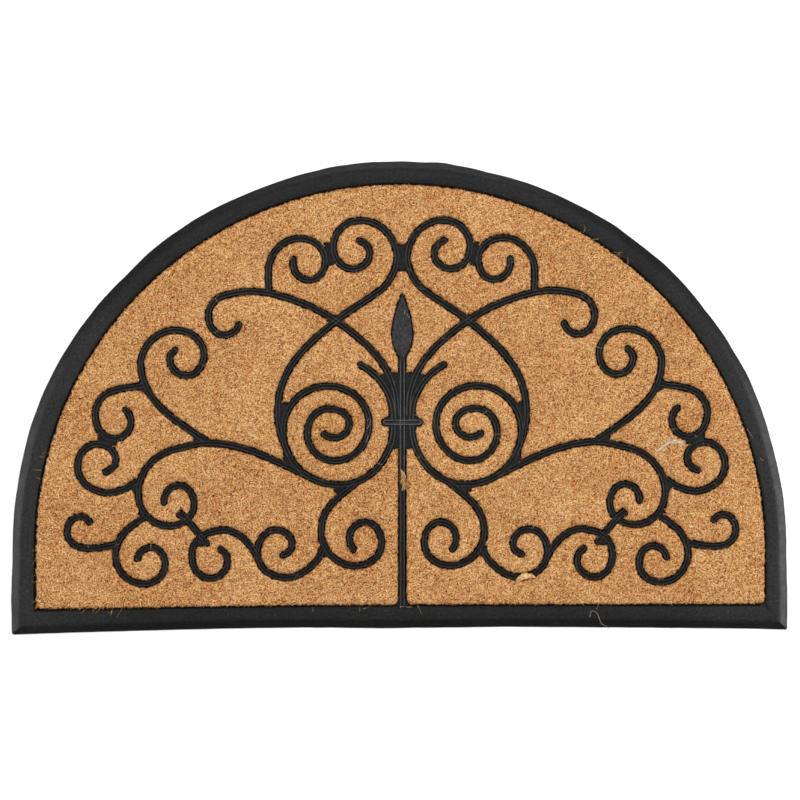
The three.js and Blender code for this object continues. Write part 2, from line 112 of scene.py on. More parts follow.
# The scrolls of the left half. A volute winds out from its tip: reach is its distance from the
# eye at the tip, and then wherever it crosses the level or upright line through the eye.
# turn is 1 for winding to the left. The leads (x, y, heading) carry the rib on from there.
SCROLLS = {
    "great_sweep": {
        "eye": (-281, 60), "tip": 180, "turn": -1, "reach": (19, 21.8, 19.6, 28.4, 50.6, 69),
        "leads": ((-246, 136, 0), (-170, 118.5, -23), (-110, 90, -26), (-92, 84, -12)),
    },
    "outer_curl": {
        "eye": (-384, 113), "tip": -57, "turn": 1, "reach": (17, 22.8, 21.4, 25.7, 38.6),
        "leads": ((-376, 71.5, 0), (-333, 88, 40)),
    },
    "lower_curl": {
        "eye": (-317, -16), "tip": 167, "turn": -1, "reach": (17.5, 18.8, 18.5, 27.2, 44),
        "leads": ((-350, 22, 48), (-324, 42, 36)),
    },
    "tail_curl": {
        "eye": (-406, 26), "tip": 39, "turn": 1, "reach": (14.2, 15.9, 17.7, 24),
        "leads": ((-395, 1, 0), (-359, 7, 16)),
    },
    "right_hook": {
        "eye": (-241, -12), "tip": 42, "turn": -1, "reach": (17.7, 22, 25.5, 23.4, 33.6),
        "leads": ((-225, 25, 0), (-193, 8, -50), (-181, -10, -66)),
    },
    "left_hook": {
        "eye": (-157, 4), "tip": -52, "turn": 1, "reach": (14.4, 20.7, 21, 23, 38.5),
        "leads": ((-143, -36.5, 0), (-115, -24.5, 38), (-96, 0, 62)),
    },
    "inner_scroll": {
        "eye": (-43, 14), "tip": 223, "turn": -1, "reach": (20.8, 20.6, 20.8, 20.6, 33.4, 56),
        "leads": ((-99.3, 26, 90), (-90, 53, 54), (-54, 85, 38)),
    },
    "spiral": {
        "eye": (-87, 160), "tip": 235, "turn": 1,
        "reach": (15.8, 17.2, 23.8, 19.4, 28.3, 47, 49, 48.4, 60.6, 77.3),
        "leads": ((-75, 82, 0), (-32, 99.5, 42), (-12.5, 128, 66), (-7, 160, 90)),
    },
    "crown_scroll": {
        "eye": (-57, 379), "tip": 68, "turn": -1, "reach": (16.2, 19.8, 21.5, 26.3, 40.2, 54),
        "leads": ((-13.5, 341.5, -123), (-44, 317, -146), (-81, 291.5, -141),
                  (-123, 253.5, -133), (-151, 205, -106), (-155, 172, -90), (-139, 119, -60)),
    },
    "shoulder_scroll": {
        "eye": (-222, 292), "tip": -16, "turn": -1, "reach": (18.7, 19, 21, 32.5),
        "leads": ((-190, 329.5, 0), (-144, 321.5, -18), (-98, 302.5, -29), (-48.5, 267.5, -41),
                  (-19.7, 235.5, -57), (-5.3, 202, -75), (-2.6, 170, -88)),
    },
    "crown_loop": {
        "eye": (-114, 366), "tip": 169, "turn": 1, "reach": (21.4, 22.5, 20, 29, 51.3),
        "leads": ((-167, 345, -90), (-166, 330, -86)),
    },
    "side_scroll": {
        "eye": (-271, 245), "tip": 149, "turn": 1, "reach": (17.5, 21.8, 23.5, 22, 32.6, 57.8),
        "leads": ((-330, 237, -88), (-317, 196.5, -56), (-281, 161.5, -36), (-246, 138, -34)),
    },
    "side_curl": {
        "eye": (-363, 165), "tip": 43, "turn": -1, "reach": (19.1, 21, 24, 24.5, 38),
        "leads": ((-345, 206.5, 0), (-325, 210, 12)),
    },
}
# Plain ribs of the left half, through places (x, y, heading).
STRAPS = {
    "side_shoot": {
        "width": RIB_WIDTH, "rounded": True,
        "places": ((-49, 235.5, -28), (-22, 213, -54), (-7.4, 178, -85), (-6.8, 165, -90)),
    },
    "link": {
        "width": RIB_WIDTH, "rounded": True,
        "places": ((-245.5, 8, 124), (-259.5, 24, 131), (-275, 43, 140)),
    },
    "link_head": {
        "width": 9.5, "rounded": False, "places": ((-282, 47, -38), (-270, 38.5, -38)),
    },
}
# Flat rubber that fills the narrow places between the ribs of the left half, by its corners.
WEBS = {
    "loop_to_crown": ((-95, 391), (-84, 391), (-82, 377), (-84, 363), (-95, 363)),
    "crossing": ((-92, 292), (-81, 299), (-69.5, 292), (-81, 285)),
    "arc_to_spiral": ((-153, 187.5), (-141, 186), (-146, 150), (-155, 150)),
    "arc_foot": ((-147, 130), (-136, 120), (-122, 98), (-140, 105), (-147, 109)),
    "spiral_foot": ((-83, 74), (-83, 80), (-68, 80), (-74, 71)),
    "sweep_fork": ((-238, 137), (-262, 149), (-262, 135)),
    "side_fork": ((-318, 206), (-336, 207), (-327, 222)),
    "side_gusset": ((-336, 206), (-322, 207), (-317, 197), (-325, 200)),
    "curl_bridge": ((-384, 147), (-384, 137), (-372, 133), (-360.5, 133), (-360.5, 143)),
    "outer_fork": ((-331, 88), (-343, 79), (-334.5, 68)),
    "lower_fork": ((-329, 52), (-333, 45), (-322, 40)),
    "tail_fork": ((-357, 13), (-368, 8), (-366, 0), (-360, -4)),
    "link_foot": ((-259, 12), (-256, 4), (-248, 5), (-248, 12)),
    "hook_fork": ((-184, 7), (-180, 8), (-176, -20), (-183, -12)),
    "scroll_fork": ((-102, 3), (-103, -5), (-96, -9), (-89, -9), (-93, 3)),
}
# Webs that stand on the mirror line, by their half width at each height in the plan.
MIDDLE = {
    "crown_web": {"y": (389, 356), "half": (9, 9)},
    "fan_web": {"y": (225, 221, 211, 200, 188, 176, 160, 150, 140, 129),
                "half": (19, 30, 25, 21.5, 18, 16.3, 15.8, 16.2, 17.8, 16)},
    "collar_web": {"y": (171, 168, 166, 158.7, 157, 153), "half": (16.6, 19.4, 23, 23, 18.2, 16)},
    "foot_web": {"y": (-62, -67, -70, -74), "half": (4.4, 5.8, 8, 12)},
}
# The spear's outline, and its rim from the root up: how far in from the outline, at which height.
SPEAR = {
    "y": (327, 320, 310, 300, 290, 282, 275, 267, 260, 250, 243, 236),
    "half": (0.6, 3.4, 7, 9.9, 12.2, 13.3, 13.7, 13.1, 11.7, 7.2, 4.2, 3.9),
    "inset": (0, 0, 0.7, 1.3, 1.7, 2.6),
    "z": (ROOT, SPEAR_TOP - 3, SPEAR_TOP - 0.8, SPEAR_TOP - 0.1, SPEAR_TOP, SPEAR_TOP),
    "least_half": 0.15,
}
COLLAR = {"y": 162.3, "reach": 26.2, "width": 9.3}
BAR = {"top": 245, "bottom": -76}

# The coir pile.
PADS = ("coir_outer", "coir_spear", "coir_top_left", "coir_top_right", "coir_teardrop_left",
        "coir_teardrop_right", "coir_side_left", "coir_side_right", "coir_field_left", "coir_field_right")
WELD = 1e-6
WELD_FLAT = 1e-4
CHUNK = 4000
PAD_STEP = 5
PAD_JITTER = 0.3
# The pad's own top, seen between the fibres, is painted dark as painted shade deep in the pile.
PAD_PAINTED_SHADE = (0, 0.3)
EDGE_STEP = 2.4
EDGE_SETBACK = 0.35
EDGE_FRAY = 1.2
BORDER_GAP = {"x": (-470, -440, -300, 470), "gap": (2.3, 1.5, 0.9, 1.2), "random": (0.5, 1.3),
              "within": 1.2}
SHOULDER = 1.3
SHOULDER_SHARE = 0.8
PILE_TUCK = 0.9
EDGE_FALL = 3.6
EDGE_SOFTNESS = 0.7
# Fibres near a pad's edge are painted darker, as painted shade by the ribs.
EDGE_PAINTED_SHADE = 0.75
EDGE_REACH = 2.2
SHARE = 1
# The fibres: lean is in degrees from upright, and shades are from 0 to 1.
STUBS = {"per_mm2": 0.35, "sink": 1.1, "lean": (5, 62), "long": (2, 4.2), "radius": (0.22, 0.44),
         "shade": (1.3, 1.1)}
BENT = {"per_mm2": 0.055, "sink": 0.7, "lean": (56, 80), "long": (3.5, 9.5), "radius": (0.24, 0.42),
        "swing": 1.4, "sag": 0.35, "droop": 0.45, "shades": (0, 0.55, 0.85, 1),
        "odds": (0.24, 0.2, 0.28, 0.28)}
# Rim fibres' shades are scaled down by light, as painted shade at the pad's edge.
RIM = {"per_point": 2.2, "back": (0.2, 1.6), "scatter": 0.5, "sink": (1.2, 4), "turn": 0.7, "lean": (15, 64),
       "long": (1.3, 3.2), "radius": (0.2, 0.4), "light": 0.75, "shade": (2, 2.4)}
# Each fibre is painted darker at its root and lighter at its tip, as painted shade and light through the
# pile's depth.
FIBRE_TAPER = 0.45
FIBRE_PAINTED_LIGHT = (-0.22, 0.08)
LUMPS = ({"height": 0.18, "wavelength": 34, "seed": 11}, {"height": 0.12, "wavelength": 11, "seed": 12})
SEED = 7
BANDS = 6
STREAK_HEADINGS = (12, 58, 101, 149)
STREAK_STRETCH = 5
STREAK_SCALE = 800

# Loose fibres that hang from the pile's edge or lie on the rubber. Each row is x, y, how long it
# is, its heading there and how many degrees it turns.
LOOSE = (
    (234.5, 404, 13, 35, 100), (246, 395, 9, 20, -30), (247, 396.5, 8, -20, 50),
    (274, 380, 8, -35, 60), (278, 375, 9, 60, -50), (281, 374, 8, 100, -110), (280, 372, 6, 10, 60),
    (292, 364, 8, 80, 15), (258, -65, 14, 238, 10), (-353.5, -75.5, 13, 243, -12),
    (-365, -77, 8, 250, -70), (-367, -78, 7, 290, -60), (-400, -76, 9, 222, 10),
    (-382, -76, 9, 232, -14), (-386, -75, 7, 205, 30), (-462.5, -11, 10, 232, 8),
    (-463, -3, 6, 170, -30), (-463, -34, 5, 150, 70), (-463, -41, 6, 215, -60),
    (-463, -66, 6, 190, 30), (-451, 124, 7, 205, 10), (-453, 118, 6, 188, -20),
    (-457, 101, 10, 180, -10), (-458, 90, 6, 150, 30), (24, -72, 12, 300, -12),
    (1, -73.5, 9, 8, -10), (11, -74, 6, 20, -40), (-46, -75.5, 9, 5, 20), (-110, -74, 6, 260, 40),
    (-50, -74, 6, 280, -30), (444, 154, 14, -52, -8), (461, 117, 7, -60, 40),
)
LOOSE_SHADE = (0.35, 0.9)
# One long loose fibre on the border, through places (x, y, heading).
LONG_LOOSE = {
    "places": ((243.5, -86.5, 70), (247, -78.6, 5), (255, -86, -72), (258.6, -94.4, -52),
               (263.2, -97.4, -12), (267.6, -101.6, -62)),
    "step": 1.2, "radius": 0.5, "shade": 0.45,
}
# Grey lint on the ribs, in rows of the same kind, and a pale film on the pile.
LINT = (
    (-36, 166, 13, 262, -25), (-41, 164, 5, 35, 25), (-42, 137, 9, 65, 15), (14, 296, 7, 150, -50),
    (7.5, 300, 6, 110, -60), (0.5, 92, 5, -25, 20), (1, 88, 6, -20, 30), (-27, 110, 6, -40, 60),
    (-442, -17, 8, 40, -30), (-436, -12, 9, -70, -20),
)
LINT_RADIUS = 0.2
LINT_SHADE = 0.8
RIB_LINT = {"count": 70, "long": (2, 6.5), "turns": 60, "radius": (0.07, 0.16), "shade": (0.2, 1)}
FILM = {"x": (325, 338, 350, 365), "y": (121, 132, 138.5, 134.5), "half": (0.6, 2.8, 4.2, 1.6),
        "strands": 115, "last": 0.85, "share": (0.08, 0.2), "spread": 0.45, "lift": (0.1, 0.5),
        "radius": (0.1, 0.22)}
# The bunch of fibres that lies over the bar, by its two ends.
BUNCH = {"top": (3.2, 101.5), "bottom": (9.6, 77), "spread": (0.8, 5), "strands": 105, "last": 0.75,
         "long": (4, 10), "swing": 13, "turns": 25, "sink": 1.4, "radius": (0.15, 0.3),
         "shades": (0, 0.3, 0.7, 1)}
# A chip of husk pith on a rib, through places (x, y, heading), with its width along it and its
# section as shares of half its width and of its rise.
CHIP = {
    "places": ((150.2, -40.6, 42), (161, -34.2, 14), (173.6, -35.6, -22)), "step": 1.2,
    "along": (0, 0.12, 0.35, 0.6, 0.85, 1), "width": (2.4, 6.2, 9, 8.6, 6.4, 1.6), "thickness": 1.8,
    "rise": (0.08, 0.92), "section": ((1, 0), (0.55, 0.8), (0, 1), (-0.55, 0.7), (-1, 0), (0, -0.25)),
}
EDGE_HAIRS = {"count": 36, "long": (3, 7.5), "swing": 40, "turns": 50, "radius": (0.08, 0.16),
              "shade": (0.1, 0.7)}
HAIR_RADIUS = 0.24
HAIR_STEPS = 9
HAIR_TAPER = 0.55

# How light the rubber is at each height, where it faces up: a painted highlight on the crests, painted shade
# in the grooves and low down.
TONE_AND_PAINTED_LIGHT_BY_HEIGHT = {
    "z": (0, 2.5, 3, 8, 9, 9.3, 9.9, 10.15, 10.3, 11),
    "shade": (0, 0.05, 0.1, 0.16, 0.34, 0.05, 0.08, 0.45, 1, 1),
}
BLADE_SHADE = 0.73
UNDERSIDE_SHADE = 0.32
HEIGHT_SLACK = 0.2
CREST_DEPTH = 0.5
# The flat webs between the ribs are painted darker, as painted shade.
WEB_PAINTED_SHADE = 0.8
# Faces that turn from level to steep are painted darker, as painted shade on the ribs' sides and the field's
# wall.
STEEP, LEVEL = 0.55, 0.85
# The border is painted lighter at its sides and darker along its front, as painted light from the sides.
SIDE_PAINTED_LIGHT = {"x": (-440, -330, 330, 440), "factor": (1.5, 0.84, 0.84, 1.42)}
FRONT_PAINTED_SHADE = 0.8
# The painted highlight on the crests is brighter on the ribs high in the pattern than on the low ones.
CREST_HIGHLIGHT = {"y": (40, 250), "factor": (0.74, 0.94)}
# In the sheaf of ribs round the collar the crests get the brightest painted highlight and the webs less
# painted shade.
SHEAF = {"half": 48, "low": 100, "high": 240, "crest": 1, "web": 0.9}
# The border is painted darker near the field's edge, as the coir's painted shadow on it.
COIR_PAINTED_SHADOW = {"outside": (0.2, 1.3, 4.5, 11), "factor": (0.15, 0.7, 0.95, 1.1)}

# Half section of a rib from its middle out: a groove, a raised line and a steep side.
RIB_SECTION = {
    "across": (0, 0.3, 0.41, 0.49, 0.59, 0.69, 0.77, 0.88, 0.96, 1),
    "drop": (0.95, 0.92, 0.6, 0.08, 0, 0.08, 0.85, 2.4, 4.6, 6),
}

# The stage, in metres and watts.
LAMPS = {
    "overhead": {"place": (0, 0.6, 5), "size": (3, 3), "watts": 225, "in_gloss": False},
    "left": {"place": (-3.2, 0.1, 1.6), "size": (1.6, 2.6), "watts": 55, "in_gloss": True},
    "right": {"place": (3.2, 0.1, 1.6), "size": (1.6, 2.6), "watts": 88, "in_gloss": True},
    "behind": {"place": (0, 3.2, 1.7), "size": (2.4, 1.4), "watts": 30, "in_gloss": True},
}
CAMERA = {"lens": 420, "film": 36, "seen_width": 1.0212, "over": (0.001, -0.0026)}
FLOOR_HALF = 4
FLOOR_DROP = -0.0002


def on_circle(centre, radius, degrees):
    angle = np.radians(degrees)
    return np.stack([centre[0] + radius * np.cos(angle), centre[1] + radius * np.sin(angle)], axis=-1)


def mirrored(points):
    """Points of the left half in their place on the right half."""
    points = np.asarray(points, float)
    across = (AXIS_X - points[:, 0]) * RIGHT_WIDTH
    x = AXIS_X + RIGHT_SHIFT + across * math.cos(RIGHT_LEAN) - points[:, 1] * math.sin(RIGHT_LEAN)
    return np.stack([x, across * math.sin(RIGHT_LEAN) + points[:, 1] * math.cos(RIGHT_LEAN)], axis=1)


def smooth_table(at, values, where):
    """Smooth curve through a table's rows, at the places where."""
    at, values = np.array(at, float), np.array(values, float)
    before = np.maximum(np.arange(len(at)) - 1, 0)
    after = np.minimum(np.arange(len(at)) + 1, len(at) - 1)
    slopes = (values[after] - values[before]) / (at[after] - at[before])
    i = np.clip(np.searchsorted(at, where) - 1, 0, len(at) - 2)
    span = at[i + 1] - at[i]
    rise = values[i + 1] - values[i]
    t = (where - at[i]) / span
    start = slopes[i] * span - rise
    end = rise - slopes[i + 1] * span
    return values[i] + t * rise + t * (1 - t) * (start * (1 - t) + end * t)


def volute(scroll):
    """Points wound round the eye, from the tip outwards."""
    turn, tip, reach = scroll["turn"], scroll["tip"], scroll["reach"]
    first = QUARTER * math.ceil((turn * tip + CLEAR_OF_TIP) / QUARTER)
    at = [turn * tip] + [first + QUARTER * i for i in range(len(reach) - 1)]
    angles = np.linspace(at[0], at[-1], 1 + math.ceil((at[-1] - at[0]) / DRAWN_STEP))
    return on_circle(scroll["eye"], smooth_table(at, reach, angles), turn * angles)


def bend(start, heading, end, end_heading):
    """Points of a smooth bend after start, which is an arc where the headings allow one."""
    chord = np.linalg.norm(end - start)
    half = math.radians(abs((end_heading - heading + 180) % 360 - 180)) / 2
    handle = chord / 3
    if half > STRAIGHT:
        handle = 2 * chord * math.tan(half / 2) / (3 * math.sin(half))
    leave = on_circle(start, handle, heading)
    arrive = on_circle(end, -handle, end_heading)
    t = np.linspace(0, 1, 1 + max(4, math.ceil(chord / DRAWN_STEP)))[1:, None]
    return (1 - t) ** 3 * start + 3 * (1 - t) ** 2 * t * leave + 3 * (1 - t) * t**2 * arrive + t**3 * end


def led_on(points, leads):
    """The points, carried on through each lead."""
    heading = 0 if len(points) < 2 else math.degrees(math.atan2(*(points[-1] - points[-2])[::-1]))
    for x, y, lead_heading in leads:
        end = np.array((x, y), float)
        points = np.vstack([points, bend(points[-1], heading, end, lead_heading)])
        heading = lead_heading
    return points


def strap_line(places):
    x, y, heading = places[0]
    behind = on_circle((x, y), -BEHIND, heading)
    return led_on(np.stack([behind, (x, y)]), places[1:])[1:]


def evenly(line, step):
    """The line again, with points about step apart."""
    along = np.concatenate([[0], np.cumsum(np.linalg.norm(np.diff(line, axis=0), axis=1))])
    at = np.linspace(0, along[-1], 1 + max(1, round(along[-1] / step)))
    return np.stack([np.interp(at, along, line[:, k]) for k in range(line.shape[1])], axis=1)


def unit(steps):
    return steps / np.maximum(np.linalg.norm(steps, axis=1, keepdims=True), TINY)


def along_and_left(line):
    """Unit steps along a line of the plan and to its left, at each of its points."""
    forward = unit(np.gradient(line, axis=0))
    return forward, np.stack([-forward[:, 1], forward[:, 0]], axis=1)


def eased(line):
    """The line with its small kinks smoothed and its ends kept."""
    inner = (line[:-2] + 2 * line[1:-1] + line[2:]) / 4
    return np.vstack([line[:1], inner, line[-1:]])


def ripple(points, wavelength, seed, waves=7):
    """Smooth random values from about -1 to 1 over points of the plan."""
    rng = np.random.default_rng(seed)
    angle = rng.uniform(0, 2 * math.pi, waves)
    length = wavelength * rng.uniform(0.7, 1.5, waves)
    phase = rng.uniform(0, 2 * math.pi, waves)
    along = np.outer(points[:, 0], np.cos(angle)) + np.outer(points[:, 1], np.sin(angle))
    return np.sin(2 * math.pi * along / length + phase).sum(axis=1) / math.sqrt(waves)


def edge_ring(edge, inset):
    """A closed ring round the mat, moved in by inset, with its points in the same order each time."""
    steps = RING_STEPS
    angles = np.linspace(0, 180, steps["arch"] + 1)
    radius = edge["radius"] + np.interp(angles, edge["angle"], edge["over"]) - inset
    arch = on_circle((edge["centre_x"], 0), radius, angles)
    front_x, front_y = edge["front"]["x"], edge["front"]["y"]
    right_x, left_x = edge["right"]["x"][0] - inset, edge["left"]["x"][0] + inset
    right_y, left_y = front_y[-1] + inset, front_y[0] + inset
    right_r = max(edge["right_corner"] - inset, 0.4)
    left_r = max(edge["left_corner"] - inset, 0.4)
    turn = np.linspace(0, 90, steps["corner"] + 1)
    right_arc = on_circle((right_x - right_r, right_y + right_r), right_r, turn - 90)
    left_arc = on_circle((left_x + left_r, left_y + left_r), left_r, turn + 180)
    up = np.linspace(right_y + right_r, 0, steps["side"] + 1)[1:-1]
    right = np.stack([np.interp(up, edge["right"]["y"], edge["right"]["x"]) - inset, up], axis=1)
    down = np.linspace(0, left_y + left_r, steps["side"] + 1)[1:-1]
    left = np.stack([np.interp(down, edge["left"]["y"], edge["left"]["x"]) + inset, down], axis=1)
    x = np.linspace(left_x + left_r, right_x - right_r, steps["front"] + 1)[1:-1]
    front = np.stack([x, np.interp(x, front_x, front_y) + inset], axis=1)
    ring = np.vstack([right_arc, right, arch, left, left_arc, front])
    wobble = edge["wobble"] * ripple(ring, RING_WAVE, seed=3)
    return ring + unit(ring - np.array(RING_CENTRE)) * wobble[:, None]


OUTLINE = edge_ring(OUTER, 0)
box_low, box_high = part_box("rubber_moulding")
SHIFT = np.array([
    (box_low.x + box_high.x) / (2 * MM) - (OUTLINE[:, 0].min() + OUTLINE[:, 0].max()) / 2,
    (box_low.y + box_high.y) / (2 * MM) - (OUTLINE[:, 1].min() + OUTLINE[:, 1].max()) / 2,
])
COIR_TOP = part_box("coir_outer")[1].z / MM
COIR_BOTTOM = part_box("coir_outer")[0].z / MM


def placed(points):
    """Plan points with heights, in millimetres, as points of the frame, in metres."""
    return (np.asarray(points, float) + (*SHIFT, 0)) * MM


def new_object(name, mesh):
    made = bpy.data.objects.new(name, mesh)
    bpy.context.scene.collection.objects.link(made)
    return made


def plain_mesh(name, points, faces):
    """A mesh from plan points with heights and lists of point numbers."""
    mesh = bpy.data.meshes.new(name)
    mesh.from_pydata(placed(points).tolist(), [], faces)
    return mesh


def closed_mesh(name, points, faces):
    """An object with its faces pointing out."""
    mesh = plain_mesh(name, points, faces)
    shape = bmesh.new()
    shape.from_mesh(mesh)
    bmesh.ops.recalc_face_normals(shape, faces=shape.faces)
    shape.to_mesh(mesh)
    shape.free()
    return new_object(name, mesh)


def triangle_mesh(name, points, triangles, shade):
    """An object from many triangles; shade is a number from 0 to 1 for each point."""
    mesh = plain_mesh(name, points, triangles.tolist())
    set_shade(mesh, shade)
    return smoothed(new_object(name, mesh))


def set_shade(mesh, shade):
    mesh.attributes.new("shade", "FLOAT", "POINT").data.foreach_set("value", shade.astype(np.float32))


def with_height(points, z):
    return np.column_stack([points, np.broadcast_to(z, len(points))])


def ring_solid(name, rings):
    """A closed solid from rings of equally many points, from its bottom round to its top."""
    count = len(rings[0])
    faces = [list(range(count))]
    for r in range(len(rings) - 1):
        here, above = r * count, (r + 1) * count
        for i in range(count):
            j = (i + 1) % count
            faces.append([here + i, here + j, above + j, above + i])
    faces.append(list(range((len(rings) - 1) * count, len(rings) * count)))
    return closed_mesh(name, np.vstack(rings), faces)


def prism(name, outline, top):
    outline = np.asarray(outline, float)
    return ring_solid(name, [with_height(outline, ROOT), with_height(outline, top)])


def rib(name, line, width, top, round_start=True, round_end=False):
    """A grooved rib along a line; a free end closes in a half round."""
    line = eased(eased(evenly(line, RIB_STEP)))
    across = np.array([*RIB_SECTION["across"], 1]) * width / 2
    heights = np.array([*(top - np.array(RIB_SECTION["drop"])), ROOT])
    half = len(across)
    width_points = 2 * half - 1
    forward, left = along_and_left(line)
    offsets = np.concatenate([across[:0:-1], -across])
    section_heights = np.concatenate([heights[:0:-1], heights])
    flat = line[:, None, :] + left[:, None, :] * offsets[None, :, None]
    points = np.column_stack([flat.reshape(-1, 2), np.tile(section_heights, len(line))])
    faces = []
    for i in range(len(line) - 1):
        here, ahead = i * width_points, (i + 1) * width_points
        for j in range(width_points):
            k = (j + 1) % width_points
            faces.append([here + j, here + k, ahead + k, ahead + j])
    extra = [points]
    used = len(points)
    for at_start, rounded in ((True, round_start), (False, round_end)):
        first = 0 if at_start else (len(line) - 1) * width_points
        if not rounded:
            faces.append(list(range(first, first + width_points)))
            continue
        place = line[0] if at_start else line[-1]
        away = -forward[0] if at_start else forward[-1]
        side = left[0] if at_start else left[-1]
        middle = first + half - 1
        rows = [[middle - k for k in range(1, half)]]
        for step in range(1, CAP_STEPS):
            angle = math.pi * step / CAP_STEPS
            out = side * math.cos(angle) + away * math.sin(angle)
            extra.append(np.column_stack([place + across[1:, None] * out, heights[1:]]))
            rows.append(list(range(used, used + half - 1)))
            used += half - 1
        rows.append([middle + k for k in range(1, half)])
        for a, b in zip(rows, rows[1:]):
            faces.append([middle, a[0], b[0]])
            faces.extend([a[k], a[k + 1], b[k + 1], b[k]] for k in range(half - 2))
        faces.append([row[-1] for row in rows])
    return closed_mesh(name, np.vstack(extra), faces)


def both_sides(name, points, make, *sizes):
    """The same thing made on the left half and on the right half."""
    return [make(f"{name}_left", np.asarray(points, float), *sizes),
            make(f"{name}_right", mirrored(points), *sizes)]


def across_middle(y, half):
    y, half = np.array(y, float), np.array(half, float)
    left = np.stack([AXIS_X - half, y], axis=1)
    right = np.stack([AXIS_X + half, y], axis=1)
    return np.vstack([left, right[::-1]])


def spear():
    """The finial's flat blade, with a narrow steep rim."""
    y, half = np.array(SPEAR["y"], float), np.array(SPEAR["half"], float)
    centre = y.mean()
    rings = []
    for inset, height in zip(SPEAR["inset"], SPEAR["z"]):
        shrunk = centre + (y - centre) * (1 - inset / (y.max() - centre))
        ring = across_middle(shrunk, np.maximum(half - inset, SPEAR["least_half"]))
        rings.append(with_height(ring, height))
    return ring_solid("spear", rings)


def grille_pieces():
    """Every raised piece of the scrollwork, each a closed solid rooted in the backing."""
    pieces = [spear()]
    for name, scroll in SCROLLS.items():
        pieces += both_sides(name, led_on(volute(scroll), scroll["leads"]), rib, RIB_WIDTH, RIB_TOP)
    for name, strap in STRAPS.items():
        sizes = strap["width"], RIB_TOP, strap["rounded"]
        pieces += both_sides(name, strap_line(strap["places"]), rib, *sizes)
    for name, corners in WEBS.items():
        pieces += both_sides(name, corners, prism, WEB_TOP)
    for name, web in MIDDLE.items():
        pieces.append(prism(name, across_middle(web["y"], web["half"]), WEB_TOP))
    bar = np.array([(AXIS_X, BAR["top"]), (AXIS_X, BAR["bottom"])], float)
    pieces.append(rib("bar", bar, BAR_WIDTH, RIB_TOP, round_start=False))
    reach = COLLAR["reach"] - COLLAR["width"] / 2
    collar = np.array([(AXIS_X - reach, COLLAR["y"]), (AXIS_X + reach, COLLAR["y"])], float)
    pieces.append(rib("collar", collar, COLLAR["width"], COLLAR_TOP, round_end=True))
    return pieces


def united(base, pieces):
    """One closed mesh of the base and everything that grows out of it."""
    for piece in pieces:
        union = base.modifiers.new("union", "BOOLEAN")
        union.operation = "UNION"
        union.solver = "MANIFOLD"
        union.object = piece
    graph = bpy.context.evaluated_depsgraph_get()
    mesh = bpy.data.meshes.new_from_object(base.evaluated_get(graph))
    for thing in [base, *pieces]:
        bpy.data.objects.remove(thing)
    return mesh


def rubber_tone_and_painted_light(mesh):
    """Give each point of the rubber its lightness, with painted highlights on the crests, painted shade in
    the grooves, on steep faces, between the ribs and by the coir, and painted light on the border's sides.
    """
    count = len(mesh.vertices)
    points, normals = np.empty(3 * count), np.empty(3 * count)
    mesh.vertices.foreach_get("co", points)
    mesh.vertices.foreach_get("normal", normals)
    points = points.reshape(-1, 3) / MM - (*SHIFT, 0)
    x, y, z = points.T
    off_middle = np.abs(x - AXIS_X)
    # Lightness by height: a painted highlight on the crests, painted shade in the grooves and low down.
    shade = np.interp(z, TONE_AND_PAINTED_LIGHT_BY_HEIGHT["z"], TONE_AND_PAINTED_LIGHT_BY_HEIGHT["shade"])
    blade = (off_middle < max(SPEAR["half"]) + 1) & (y > BAR["top"]) & (y < max(SPEAR["y"]) + 1)
    shade[blade & (z > WEB_TOP)] = BLADE_SHADE
    # Painted shade on the steep faces.
    shade *= np.clip((normals.reshape(-1, 3)[:, 2] - STEEP) / (LEVEL - STEEP), 0, 1)
    outside = from_border(points)
    border = outside > 0
    web = ~border & (z < WEB_TOP + HEIGHT_SLACK)
    # Painted shade on the webs between the ribs.
    shade[web] *= WEB_PAINTED_SHADE
    # Painted shadow of the coir on the border.
    shade[border] *= np.interp(outside[border], COIR_PAINTED_SHADOW["outside"], COIR_PAINTED_SHADOW["factor"])
    # Painted light on the border's sides and painted shade along its front.
    shade[border] *= np.interp(x[border], SIDE_PAINTED_LIGHT["x"], SIDE_PAINTED_LIGHT["factor"])
    shade[border & (y < min(FIELD["front"]["y"]))] *= FRONT_PAINTED_SHADE
    crest = ~border & (z > RIB_TOP - CREST_DEPTH)
    in_sheaf = (off_middle < SHEAF["half"]) & (y > SHEAF["low"]) & (y < SHEAF["high"])
    # Painted highlight on the crests, brighter high in the pattern and brightest in the sheaf.
    crest_highlight = np.interp(y, CREST_HIGHLIGHT["y"], CREST_HIGHLIGHT["factor"])
    crest_highlight[in_sheaf] = SHEAF["crest"]
    shade[web & in_sheaf] *= SHEAF["web"]
    shade[crest] *= crest_highlight[crest]
    shade[z < HEIGHT_SLACK] = UNDERSIDE_SHADE
    set_shade(mesh, shade)


def rubber_moulding():
    rings = [with_height(edge_ring(part["edge"], inset), z)
             for part in TRAY_RINGS for inset, z in zip(part["inset"], part["z"])]
    mesh = united(ring_solid("tray", rings), grille_pieces())
    mesh.polygons.foreach_set("material_index", np.zeros(len(mesh.polygons), np.int32))
    mesh.materials.clear()
    made = smoothed(new_object("rubber_mat_moulding", mesh))
    mesh.set_sharp_from_angle(angle=SHARP)
    rubber_tone_and_painted_light(mesh)
    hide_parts("rubber_moulding")
    return dressed(made, "rubber")


